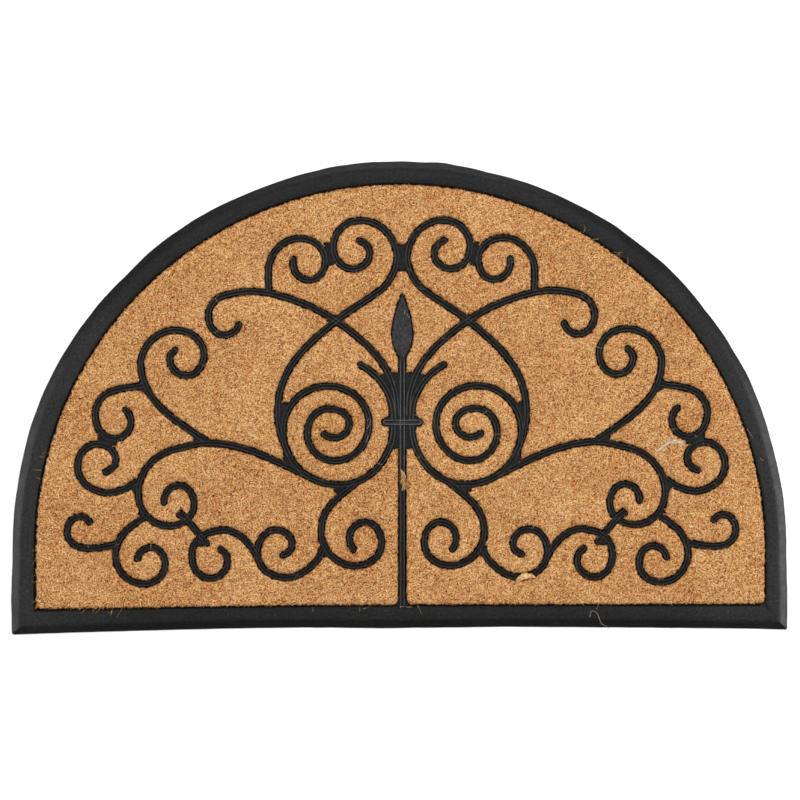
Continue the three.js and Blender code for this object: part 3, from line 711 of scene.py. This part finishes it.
def pad_loops(node):
    """The loops round a pad's flat top in the plan, with the pad on their left."""
    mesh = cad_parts[node].data
    points = np.array([v.co for v in mesh.vertices], float)
    corners, weld = np.unique(np.round(points / WELD).astype(int), axis=0, return_inverse=True)
    weld = weld.ravel()
    top = corners[:, 2].max()
    edges = set()
    for face in mesh.polygons:
        ring = [int(weld[v]) for v in face.vertices]
        if all(corners[v, 2] == top for v in ring):
            edges.update(zip(ring, ring[1:] + ring[:1]))
    after = {a: b for a, b in edges if (b, a) not in edges}
    loops = []
    while after:
        start = next(iter(sorted(after)))
        loop = [start]
        while loop[-1] in after:
            loop.append(after.pop(loop[-1]))
        loops.append(corners[loop][:, :2] * WELD / MM - SHIFT)
    return loops


def rough_loops(node, rng):
    """The loops with many points, set a little inside the pad and frayed as cut fibre is."""
    loops = []
    for loop in pad_loops(node):
        line = evenly(loop, EDGE_STEP)[:-1]
        inward = inward_of(line)
        back = EDGE_SETBACK + EDGE_FRAY * rng.random(len(line)) ** 2
        by_border = from_border(line) > -BORDER_GAP["within"]
        gap = np.interp(line[by_border, 0], BORDER_GAP["x"], BORDER_GAP["gap"])
        back[by_border] += gap * rng.uniform(*BORDER_GAP["random"], len(gap))
        loops.append(line + inward * back[:, None])
    return loops


def from_border(points):
    """How far each point lies outside the field that the pile fills."""
    x, y = points.T[:2]
    outside = np.hypot(x - FIELD["centre_x"], np.maximum(y, 0)) - FIELD["radius"]
    front = np.interp(x, FIELD["front"]["x"], FIELD["front"]["y"])
    return np.where(y < 0, np.maximum(outside, front - y), outside)


def inward_of(line):
    """Unit steps to the left of a closed loop, at each of its points."""
    along = unit(np.roll(line, -1, axis=0) - np.roll(line, 1, axis=0))
    return np.stack([-along[:, 1], along[:, 0]], axis=1)


def in_chunks(work, points):
    """The work's results for all the points, done a chunk at a time to save memory."""
    chunks = [points[first:first + CHUNK] for first in range(0, max(len(points), 1), CHUNK)]
    return np.concatenate([work(chunk) for chunk in chunks])


def inside(points, loops):
    """Which points lie within the loops, holes left out."""
    a = np.vstack(loops)
    b = np.vstack([np.roll(loop, -1, axis=0) for loop in loops])
    rise = np.where(b[:, 1] == a[:, 1], TINIEST, b[:, 1] - a[:, 1])

    def odd_crossings(here):
        x, y = here[:, 0:1], here[:, 1:2]
        crosses = (a[:, 1] > y) != (b[:, 1] > y)
        left = x < a[:, 0] + (b[:, 0] - a[:, 0]) * (y - a[:, 1]) / rise
        return (crosses & left).sum(axis=1) % 2 == 1

    return in_chunks(odd_crossings, points)


def edge_distance(points, loops):
    """How far each point is from the nearest point of the loops."""
    edge = np.vstack(loops)

    def nearest(here):
        square = (here**2).sum(axis=1)[:, None] + (edge**2).sum(axis=1) - 2 * here @ edge.T
        return np.sqrt(np.maximum(square.min(axis=1), 0))

    return in_chunks(nearest, points)


def pile_height(points, loops):
    """Height of the pile's top, lumpy and falling away at the pad's edge."""
    lumps = sum(row["height"] * ripple(points, row["wavelength"], row["seed"]) for row in LUMPS)
    fall = EDGE_FALL * np.exp(-edge_distance(points, loops) / EDGE_SOFTNESS)
    return COIR_TOP - PILE_TUCK + lumps - fall


def pad_top(loops, rng):
    """A lumpy top over everything inside the loops: its points with heights and its triangles."""
    low, high = np.vstack(loops).min(axis=0), np.vstack(loops).max(axis=0)
    axes = [np.arange(low[k], high[k], PAD_STEP) for k in range(2)]
    grid = np.stack(np.meshgrid(*axes), axis=-1).reshape(-1, 2)
    grid += rng.uniform(-PAD_JITTER, PAD_JITTER, grid.shape) * PAD_STEP
    clear = SHOULDER_SHARE * SHOULDER
    ring = np.vstack([loop + inward_of(loop) * SHOULDER for loop in loops])
    inner = np.vstack([ring[edge_distance(ring, loops) > clear], grid])
    inner = inner[inside(inner, loops)]
    inner = inner[edge_distance(inner, loops) > clear]
    edges, used = [], 0
    for loop in loops:
        edges += [(used + i, used + (i + 1) % len(loop)) for i in range(len(loop))]
        used += len(loop)
    flat = [Vector(p) for p in np.vstack([*loops, inner])]
    points, _, faces, _, _, _ = delaunay_2d_cdt(flat, edges, [], 0, WELD_FLAT, False)
    points, faces = np.array(points, float), np.array(faces, int)
    faces = faces[inside(points[faces].mean(axis=1), loops)]
    kept, faces = np.unique(faces, return_inverse=True)
    points = points[kept]
    return with_height(points, pile_height(points, loops)), faces.reshape(-1, 3)


def coir_pad(node, rng):
    """A pad of pile, closed: the piece, its top's points and triangles, and its loops."""
    loops = rough_loops(node, rng)
    top, faces = pad_top(loops, rng)
    count = len(top)
    bottom = with_height(top[:, :2], COIR_BOTTOM)
    directed = np.vstack([faces[:, [0, 1]], faces[:, [1, 2]], faces[:, [2, 0]]])
    key = directed[:, 0] * count + directed[:, 1]
    rim = directed[~np.isin(directed[:, 1] * count + directed[:, 0], key)]
    walls = np.vstack([
        np.stack([rim[:, 1], rim[:, 0], rim[:, 0] + count], axis=1),
        np.stack([rim[:, 1], rim[:, 0] + count, rim[:, 1] + count], axis=1),
    ])
    triangles = np.vstack([faces, faces[:, ::-1] + count, walls])
    # Painted shade deep in the pile on the pad's top.
    shade = np.concatenate([rng.uniform(*PAD_PAINTED_SHADE, count), np.zeros(count)])
    pad = triangle_mesh("pile_" + node, np.vstack([top, bottom]), triangles, shade)
    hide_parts(node)
    return dressed(pad, "coir"), top, faces, loops


def smoothed(piece):
    piece.data.polygons.foreach_set("use_smooth", np.ones(len(piece.data.polygons), bool))
    return piece


def dressed(piece, slot, look=None):
    piece.data.materials.append(MATERIALS[look or slot])
    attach(piece, "root")
    return piece


def scattered(top, faces, count, sink, rng):
    """count places spread evenly over a pad's top and sunk a little."""
    a, b, c = (top[faces[:, k]] for k in range(3))
    size = np.abs(np.cross(b[:, :2] - a[:, :2], c[:, :2] - a[:, :2]))
    pick = rng.choice(len(faces), count, p=size / size.sum())
    u, v = rng.random((2, count, 1))
    u, v = np.where(u + v > 1, 1 - u, u), np.where(u + v > 1, 1 - v, v)
    places = a[pick] + u * (b[pick] - a[pick]) + v * (c[pick] - a[pick])
    places[:, 2] -= sink
    return places


def leaning(count, rng, least, most, heading=None):
    """Unit directions that lean from upright by least to most degrees."""
    lean = np.radians(rng.uniform(least, most, count))
    around = rng.uniform(0, 2 * math.pi, count) if heading is None else heading
    return np.stack([np.sin(lean) * np.cos(around), np.sin(lean) * np.sin(around), np.cos(lean)], axis=1)


def across_of(direction, rng):
    """Two unit steps square to each direction, turned at random."""
    u = unit(np.cross(direction, rng.normal(size=direction.shape)))
    return u, np.cross(direction, u)


def spokes(u, v):
    """Three steps out to the corners of a thread's section, in the plane of u and v."""
    around = 2 * math.pi * np.arange(3) / 3
    return u[:, None] * np.cos(around)[None, :, None] + v[:, None] * np.sin(around)[None, :, None]


def thread_faces(rings):
    """The triangles of a thread of three sided rings, closed at its start and open at its end."""
    faces = [(0, 2, 1)]
    for i in range(rings - 1):
        for k in range(3):
            a, b = 3 * i + k, 3 * i + (k + 1) % 3
            faces += [(a, b, b + 3), (a, b + 3, a + 3)]
    return faces


def fibres(roots, directions, lengths, radii, sag, shades, rng, joints=1):
    """Tapered three sided fibres, closed at the root: points, triangles and shades.
    joints is how many steps each has; sag is how far its tip is pushed from its first direction."""
    count = len(roots)
    out = spokes(*across_of(directions, rng))
    rows = []
    for j in range(joints):
        t = j / joints
        centre = roots + directions * (lengths * t)[:, None] + sag * t**2
        rows.append(centre[:, None] + (radii * (1 - FIBRE_TAPER * t))[:, None, None] * out)
    tips = (roots + directions * lengths[:, None] + sag)[:, None]
    points = np.concatenate([*rows, tips], axis=1)
    size = points.shape[1]
    last = 3 * (joints - 1)
    pattern = thread_faces(joints) + [(last + k, last + (k + 1) % 3, size - 1) for k in range(3)]
    triangles = (np.arange(count)[:, None, None] * size + np.array(pattern)[None]).reshape(-1, 3)
    # Painted shade towards the root and painted light at the tip.
    along = np.linspace(*FIBRE_PAINTED_LIGHT, joints + 1)
    tone = np.concatenate([np.repeat(along[:-1], 3), along[-1:]])
    shade = np.clip(shades[:, None] + tone[None], 0, 1).ravel()
    return points.reshape(-1, 3), triangles, shade


def joined(parts):
    """Several (points, triangles, shades) as one."""
    used, triangles = 0, []
    for points, faces, _ in parts:
        triangles.append(faces + used)
        used += len(points)
    return (np.vstack([part[0] for part in parts]), np.vstack(triangles),
            np.concatenate([part[2] for part in parts]))


def stubs(top, faces, loops, count, rng):
    """Short cut fibres, with painted shade near the pad's edges."""
    roots = scattered(top, faces, count, STUBS["sink"], rng)
    shades = rng.beta(*STUBS["shade"], count)
    # Painted shade near the pad's edges.
    shades -= EDGE_PAINTED_SHADE * np.exp(-edge_distance(roots[:, :2], loops) / EDGE_REACH)
    ways = leaning(count, rng, *STUBS["lean"])
    return fibres(roots, ways, rng.uniform(*STUBS["long"], count), rng.uniform(*STUBS["radius"], count),
                  np.zeros((count, 3)), shades, rng)


def bent_fibres(top, faces, loops, count, rng):
    """Longer fibres that lie over their own pad."""
    roots = scattered(top, faces, count, BENT["sink"], rng)
    lengths = rng.uniform(*BENT["long"], count)
    heading = rng.uniform(0, 2 * math.pi, count)
    swing = heading + rng.uniform(-BENT["swing"], BENT["swing"], count)
    sag = np.stack([np.cos(swing), np.sin(swing), np.full(count, -BENT["droop"])], axis=1)
    sag *= (BENT["sag"] * lengths)[:, None]
    ways = leaning(count, rng, *BENT["lean"], heading)
    over_pad = inside((roots + ways * lengths[:, None] + sag)[:, :2], loops)
    roots, ways, lengths, sag = roots[over_pad], ways[over_pad], lengths[over_pad], sag[over_pad]
    count = len(roots)
    return fibres(roots, ways, lengths, rng.uniform(*BENT["radius"], count), sag,
                  rng.choice(BENT["shades"], count, p=BENT["odds"]), rng, joints=2)


def rim_fibres(loops, rng):
    """Fibres that lean out over the pad's edges."""
    edge = np.vstack(loops)
    outward = np.vstack([-inward_of(loop) for loop in loops])
    repeats = rng.poisson(RIM["per_point"] * SHARE, len(edge))
    edge, outward = np.repeat(edge, repeats, axis=0), np.repeat(outward, repeats, axis=0)
    count = len(edge)
    start = edge - outward * rng.uniform(*RIM["back"], (count, 1))
    start += rng.normal(size=(count, 2)) * RIM["scatter"]
    roots = with_height(start, COIR_TOP - rng.uniform(*RIM["sink"], count))
    heading = np.arctan2(outward[:, 1], outward[:, 0]) + rng.normal(size=count) * RIM["turn"]
    lengths = rng.uniform(*RIM["long"], count)
    ways = leaning(count, rng, *RIM["lean"], heading)
    # Painted shade on the fibres at the pad's edge.
    return fibres(roots, ways, lengths, rng.uniform(*RIM["radius"], count), np.zeros((count, 3)),
                  RIM["light"] * rng.beta(*RIM["shade"], count), rng)


def pile(top, faces, loops, rng):
    """The cut fibres that stand over one pad."""
    flat = top[faces][:, :, :2]
    area = np.abs(np.cross(flat[:, 1] - flat[:, 0], flat[:, 2] - flat[:, 0])).sum() / 2
    return [stubs(top, faces, loops, int(area * STUBS["per_mm2"] * SHARE), rng),
            bent_fibres(top, faces, loops, int(area * BENT["per_mm2"] * SHARE), rng),
            rim_fibres(loops, rng)]


def in_bands(points, triangles, shades):
    """The fibres in strips across the mat, each a piece of its own."""
    middle = points[triangles[:, 0], 0]
    bands = np.linspace(middle.min() - 1, middle.max() + 1, BANDS + 1)
    pieces = []
    for number in range(BANDS):
        mine = triangles[(middle >= bands[number]) & (middle < bands[number + 1])]
        kept, mine = np.unique(mine, return_inverse=True)
        name = f"coir_fibres_{number + 1}"
        pieces.append(dressed(triangle_mesh(name, points[kept], mine.reshape(-1, 3), shades[kept]), "coir"))
    return pieces


def strand(line, radii, shade):
    """A three sided closed thread along a line of points with heights: points, triangles, shades."""
    count = len(line)
    forward = unit(np.gradient(line, axis=0))
    left = unit(np.cross((0, 0, 1), forward))
    out = spokes(left, np.cross(forward, left))
    points = (line[:, None] + np.broadcast_to(radii, count)[:, None, None] * out).reshape(-1, 3)
    last = 3 * (count - 1)
    return points, np.array([*thread_faces(count), (last, last + 1, last + 2)]), np.full(len(points), shade)


def curl(x, y, length, heading, turns):
    """Points along a loose fibre in the plan."""
    headings = np.radians(heading + turns * (np.arange(HAIR_STEPS) + 0.5) / HAIR_STEPS)
    steps = np.stack([np.cos(headings), np.sin(headings)], axis=1) * length / HAIR_STEPS
    return np.vstack([[(x, y)], (x, y) + np.cumsum(steps, axis=0)])


def hair(line, start_height, end_height, radius, shade):
    """A hair along a line of the plan that sinks from one height to another and thins to its tip."""
    t = np.linspace(0, 1, len(line))
    heights = end_height + (start_height - end_height) * (1 - t) ** 3
    return strand(with_height(line, heights), radius * (1 - HAIR_TAPER * t), shade)


def edge_hairs(all_loops, rng):
    """Thin hairs that stick out here and there from the edges of the pads."""
    edge = np.vstack(all_loops)
    outward = np.vstack([-inward_of(loop) for loop in all_loops])
    hairs = []
    for i in rng.choice(len(edge), EDGE_HAIRS["count"], replace=False):
        heading = math.degrees(math.atan2(outward[i, 1], outward[i, 0])) + rng.normal() * EDGE_HAIRS["swing"]
        line = curl(*edge[i], rng.uniform(*EDGE_HAIRS["long"]), heading, rng.normal() * EDGE_HAIRS["turns"])
        radius = rng.uniform(*EDGE_HAIRS["radius"])
        hairs.append(hair(line, COIR_TOP - 0.6, RIB_TOP + 0.15, radius, rng.uniform(*EDGE_HAIRS["shade"])))
    return hairs


def bunch(rng):
    """Fibres that have slid across the bar and lie much the same way."""
    top, bottom = np.array(BUNCH["top"]), np.array(BUNCH["bottom"])
    heading = math.degrees(math.atan2(*(bottom - top)[::-1]))
    strands = []
    for _ in range(BUNCH["strands"]):
        t = rng.uniform(0, BUNCH["last"])
        x, y = top + (bottom - top) * t
        x += rng.uniform(-1, 1) * np.interp(t, (0, BUNCH["last"]), BUNCH["spread"])
        line = curl(x, y + rng.normal(), rng.uniform(*BUNCH["long"]), heading + rng.normal() * BUNCH["swing"],
                    rng.normal() * BUNCH["turns"])
        line = with_height(line, COIR_TOP - rng.uniform(0, BUNCH["sink"]))
        strands.append(strand(line, rng.uniform(*BUNCH["radius"]), rng.choice(BUNCH["shades"])))
    return strands


def film(rng):
    """Fine pale fibres that lie on the pile along a short bent path."""
    along = np.linspace(0, 1, len(FILM["x"]))
    strands = []
    for _ in range(FILM["strands"]):
        first = rng.uniform(0, FILM["last"])
        t = np.linspace(first, first + rng.uniform(*FILM["share"]), 4)
        side = rng.normal() * FILM["spread"] * smooth_table(along, FILM["half"], t)
        line = np.stack([smooth_table(along, FILM["x"], t), smooth_table(along, FILM["y"], t) + side], axis=1)
        line = with_height(line, COIR_TOP + rng.uniform(*FILM["lift"]))
        strands.append(strand(line, rng.uniform(*FILM["radius"]), 1))
    return strands


def rib_lint(rng):
    """Short grey fibres scattered over the ribs."""
    lines = [led_on(volute(scroll), scroll["leads"]) for scroll in SCROLLS.values()]
    places = np.vstack(lines + [mirrored(line) for line in lines])
    hairs = []
    for x, y in places[rng.choice(len(places), RIB_LINT["count"], replace=False)]:
        line = curl(x + rng.normal(), y + rng.normal(), rng.uniform(*RIB_LINT["long"]), rng.uniform(0, 360),
                    rng.normal() * RIB_LINT["turns"])
        radius = rng.uniform(*RIB_LINT["radius"])
        hairs.append(strand(with_height(line, RIB_TOP + 0.2), radius, rng.uniform(*RIB_LINT["shade"])))
    return hairs


def chip():
    """A flat pointed flake with a raised middle."""
    line = evenly(strap_line(CHIP["places"]), CHIP["step"])
    t = np.linspace(0, 1, len(line))
    half = np.interp(t, CHIP["along"], CHIP["width"]) / 2 * (1 + 0.12 * ripple(line, 5, seed=21))
    left = along_and_left(line)[1]
    rise = CHIP["thickness"] * np.sin(math.pi * np.clip(t, *CHIP["rise"]))
    edges = []
    for across, up in CHIP["section"]:
        height = COIR_TOP - 0.6 + rise * up + 0.15 * ripple(line + across, 3, seed=22)
        edges.append(with_height(line + left * (half * across)[:, None], height))
    return dressed(smoothed(ring_solid("pith_chip", np.stack(edges, axis=1))), "coir", "pith")


def strays(all_loops, rng):
    """All the loose fibres and the lint, as two pieces."""
    fallen = []
    for row in LOOSE:
        shade = rng.uniform(*LOOSE_SHADE)
        fallen.append(hair(curl(*row), COIR_TOP - 0.4, BORDER_TOP + 0.4, HAIR_RADIUS, shade))
    long_line = evenly(strap_line(LONG_LOOSE["places"]), LONG_LOOSE["step"])
    fallen += edge_hairs(all_loops, rng) + bunch(rng)
    lint = [strand(with_height(curl(*row), RIB_TOP + 0.5), LINT_RADIUS, LINT_SHADE) for row in LINT]
    lint.append(hair(long_line, BORDER_TOP + 1, BORDER_TOP + 0.2, LONG_LOOSE["radius"], LONG_LOOSE["shade"]))
    lint += rib_lint(rng) + film(rng)
    return [dressed(triangle_mesh("loose_fibres", *joined(fallen)), "coir"),
            dressed(triangle_mesh("grey_lint", *joined(lint)), "coir", "lint")]


def filled(tree, node, inputs):
    """The node, with each input linked to a socket or set to a plain value."""
    for name, value in inputs.items():
        if isinstance(value, bpy.types.NodeSocket):
            tree.links.new(value, node.inputs[name])
        else:
            node.inputs[name].default_value = value
    return node


def new_node(tree, kind, inputs, **settings):
    made = tree.nodes.new("ShaderNode" + kind)
    for name, value in settings.items():
        setattr(made, name, value)
    return filled(tree, made, inputs)


def new_material(name):
    """A new material, with its tree, its shader, the place on the object and the shade there."""
    material = bpy.data.materials.new(name)
    material.use_nodes = True
    tree = material.node_tree
    place = new_node(tree, "TexCoord", {}).outputs["Object"]
    shade = new_node(tree, "Attribute", {}, attribute_name="shade").outputs["Fac"]
    return material, tree, tree.nodes["Principled BSDF"], place, shade


def noise(tree, place, scale, detail, roughness):
    inputs = {"Vector": place, "Scale": scale, "Detail": detail, "Roughness": roughness}
    return new_node(tree, "TexNoise", inputs).outputs["Fac"]


def streaks(tree, place, heading):
    """Noise drawn out along one heading, from 0 to 1, as fibres that lie that way."""
    turned = new_node(tree, "Mapping", {}, vector_type="TEXTURE")
    filled(tree, turned, {"Vector": place, "Rotation": (0, 0, math.radians(heading)),
                          "Scale": (STREAK_STRETCH, 1, STREAK_STRETCH)})
    inputs = {"Vector": turned.outputs["Vector"], "Scale": STREAK_SCALE, "Detail": 1, "Distortion": 0.4}
    return mapped(tree, new_node(tree, "TexNoise", inputs).outputs["Fac"], 0.42, 0.7, 0, 1)


def maths(tree, operation, a, b):
    return new_node(tree, "Math", {0: a, 1: b}, operation=operation).outputs[0]


def added(tree, terms):
    """The sum of the values, each times its factor."""
    scaled = [maths(tree, "MULTIPLY", value, factor) for value, factor in terms]
    total = scaled[0]
    for value in scaled[1:]:
        total = maths(tree, "ADD", total, value)
    return total


def mapped(tree, value, low, high, to_low, to_high):
    inputs = {"Value": value, "From Min": low, "From Max": high, "To Min": to_low, "To Max": to_high}
    return new_node(tree, "MapRange", inputs).outputs["Result"]


def ramp(tree, value, stops):
    node = new_node(tree, "ValToRGB", {"Fac": value})
    elements = node.color_ramp.elements
    while len(elements) < len(stops):
        elements.new(0.5)
    for element, (position, colour) in zip(elements, stops):
        element.position = position
        element.color = (*colour, 1)
    return node.outputs["Color"]


def mix(tree, kind, factor, a, b):
    """Colours a and b mixed."""
    node = new_node(tree, "Mix", {}, data_type="RGBA", blend_type=kind)
    index = {socket.identifier: i for i, socket in enumerate(node.inputs)}
    filled(tree, node, {index["Factor_Float"]: factor, index["A_Color"]: a, index["B_Color"]: b})
    return next(socket for socket in node.outputs if socket.identifier == "Result_Color")


def bump(tree, value, strength, distance):
    inputs = {"Height": value, "Strength": strength, "Distance": distance}
    return new_node(tree, "Bump", inputs).outputs["Normal"]


def rubber_material():
    material, tree, shader, place, shade = new_material("moulded_rubber")
    # The rubber's colour from its shade, which carries its painted highlights and painted shade.
    rubber_tone_and_light = ramp(tree, shade, (
        (0, (0.003, 0.003, 0.003)), (0.12, (0.006, 0.006, 0.006)), (0.36, (0.0155, 0.016, 0.016)),
        (0.6, (0.02, 0.0205, 0.0205)), (0.9, (0.033, 0.0342, 0.0342)), (1, (0.085, 0.088, 0.088)),
    ))
    clouds = ramp(tree, noise(tree, place, 18, 4, 0.6), ((0.3, (0.6, 0.6, 0.6)), (0.7, (1, 1, 1))))
    shaded = mix(tree, "MULTIPLY", 0.5, rubber_tone_and_light, clouds)
    grain = mapped(tree, noise(tree, place, 330, 2, 0.6), 0.3, 0.7, 0.45, 1.55)
    grained = mix(tree, "MULTIPLY", 1, shaded, grain)
    specks = mapped(tree, noise(tree, place, 620, 2, 0.6), 0.66, 0.76, 0, 0.55)
    filled(tree, shader, {
        "Base Color": mix(tree, "MIX", specks, grained, (0.17, 0.13, 0.09, 1)),
        "Roughness": mapped(tree, noise(tree, place, 90, 3, 0.6), 0.3, 0.7, 0.34, 0.5),
        "Specular IOR Level": 0.3,
        "Normal": bump(tree, noise(tree, place, 900, 3, 0.65), 0.12, 0.0004),
    })
    return material


def coir_material():
    material, tree, shader, place, shade = new_material("coir_pile")
    grain = mapped(tree, noise(tree, place, 520, 1, 0.5), 0.34, 0.66, 0, 1)
    clouds = mapped(tree, noise(tree, place, 13, 2, 0.5), 0.3, 0.7, 0, 1)
    strokes = streaks(tree, place, STREAK_HEADINGS[0])
    for heading in STREAK_HEADINGS[1:]:
        strokes = maths(tree, "MAXIMUM", strokes, streaks(tree, place, heading))
    tint = mapped(tree, noise(tree, place, 430, 1, 0.5), 0.36, 0.64, 0, 1)
    flecks = mapped(tree, noise(tree, place, 340, 1, 0.5), 0.66, 0.74, 0, 1)
    tone = added(tree, ((shade, 0.33), (grain, 0.24), (strokes, 0.4), (clouds, 0.07), (tint, 0.05),
                        (flecks, -0.32)))
    rust = ramp(tree, tone, (
        (0.13, (0.03, 0.007, 0.002)), (0.3, (0.2, 0.046, 0.008)), (0.46, (0.4, 0.15, 0.032)),
        (0.59, (0.525, 0.26, 0.074)), (0.74, (0.67, 0.4, 0.145)), (0.93, (0.83, 0.6, 0.31)),
    ))
    cream = ramp(tree, tone, (
        (0.13, (0.04, 0.013, 0.005)), (0.3, (0.21, 0.072, 0.02)), (0.46, (0.37, 0.188, 0.074)),
        (0.59, (0.485, 0.315, 0.153)), (0.74, (0.63, 0.46, 0.27)), (0.93, (0.79, 0.67, 0.5)),
    ))
    filled(tree, shader, {
        "Base Color": mix(tree, "MIX", tint, rust, cream), "Roughness": 0.82, "Specular IOR Level": 0.25,
        "Normal": bump(tree, noise(tree, place, 1500, 2, 0.6), 0.3, 0.0005),
    })
    return material


def pith_material():
    material, tree, shader, place, _ = new_material("husk_pith")
    colour = ramp(tree, noise(tree, place, 330, 3, 0.6), (
        (0.38, (0.33, 0.155, 0.055)), (0.5, (0.52, 0.3, 0.125)), (0.62, (0.67, 0.44, 0.225)),
    ))
    filled(tree, shader, {"Base Color": colour, "Roughness": 0.8,
                          "Normal": bump(tree, noise(tree, place, 700, 3, 0.6), 0.5, 0.0006)})
    return material


def lint_material():
    material, tree, shader, place, shade = new_material("grey_lint")
    tone = added(tree, ((shade, 0.7), (noise(tree, place, 260, 2, 0.5), 0.5)))
    colour = ramp(tree, tone, (
        (0.2, (0.12, 0.085, 0.055)), (0.6, (0.3, 0.235, 0.165)), (0.85, (0.5, 0.42, 0.33)),
        (1, (0.75, 0.65, 0.51)),
    ))
    filled(tree, shader, {"Base Color": colour, "Roughness": 0.85})
    return material


def floor_material():
    material, tree, shader, _, _ = new_material("studio_floor")
    filled(tree, shader, {"Base Color": (0.9, 0.9, 0.9, 1), "Roughness": 0.95, "Specular IOR Level": 0.1})
    return material


def stage():
    """A plain pale floor under the mat."""
    mesh = bpy.data.meshes.new("floor")
    corners = [(-FLOOR_HALF, -FLOOR_HALF, 0), (FLOOR_HALF, -FLOOR_HALF, 0), (FLOOR_HALF, FLOOR_HALF, 0),
               (-FLOOR_HALF, FLOOR_HALF, 0)]
    mesh.from_pydata(corners, [], [(0, 1, 2, 3)])
    floor = new_object("floor", mesh)
    floor.location.z = FLOOR_DROP
    mesh.materials.append(floor_material())


def soft_light(name, place, size, watts, in_gloss):
    lamp = bpy.data.lights.new(name, "AREA")
    lamp.shape = "RECTANGLE"
    lamp.size, lamp.size_y = size
    lamp.energy = watts
    made = new_object(name, lamp)
    made.location = place
    made.rotation_euler = (-Vector(place)).to_track_quat("-Z", "Y").to_euler()
    made.visible_glossy = in_gloss
    made.visible_camera = False


def lights():
    world = bpy.data.worlds.new("studio")
    bpy.context.scene.world = world
    world.use_nodes = True
    filled(world.node_tree, world.node_tree.nodes["Background"], {"Color": (1, 1, 1, 1), "Strength": 0.12})
    for name, lamp in LAMPS.items():
        soft_light(name, **lamp)


def camera():
    """Straight above the mat, at the photograph's framing."""
    seen = bpy.data.cameras.new("camera")
    seen.lens, seen.sensor_width = CAMERA["lens"], CAMERA["film"]
    made = new_object("camera", seen)
    away = CAMERA["seen_width"] / 2 / (CAMERA["film"] / 2 / CAMERA["lens"])
    made.location = (*CAMERA["over"], RIB_TOP * MM + away)
    bpy.context.scene.camera = made


def coir():
    """All the pile and what lies loose on it, in pieces."""
    rng = np.random.default_rng(SEED)
    pieces, grown, all_loops = [], [], []
    for node in PADS:
        pad, top, faces, loops = coir_pad(node, rng)
        pieces.append(pad)
        all_loops += loops
        grown += pile(top, faces, loops, rng)
    pieces += in_bands(*joined(grown))
    pieces += strays(all_loops, rng)
    return [*pieces, chip()]


bpy.context.scene.view_settings.view_transform = "Standard"
camera()
lights()
stage()
MATERIALS = {
    "rubber": rubber_material(), "coir": coir_material(), "pith": pith_material(), "lint": lint_material(),
}
rubber_moulding()
coir()
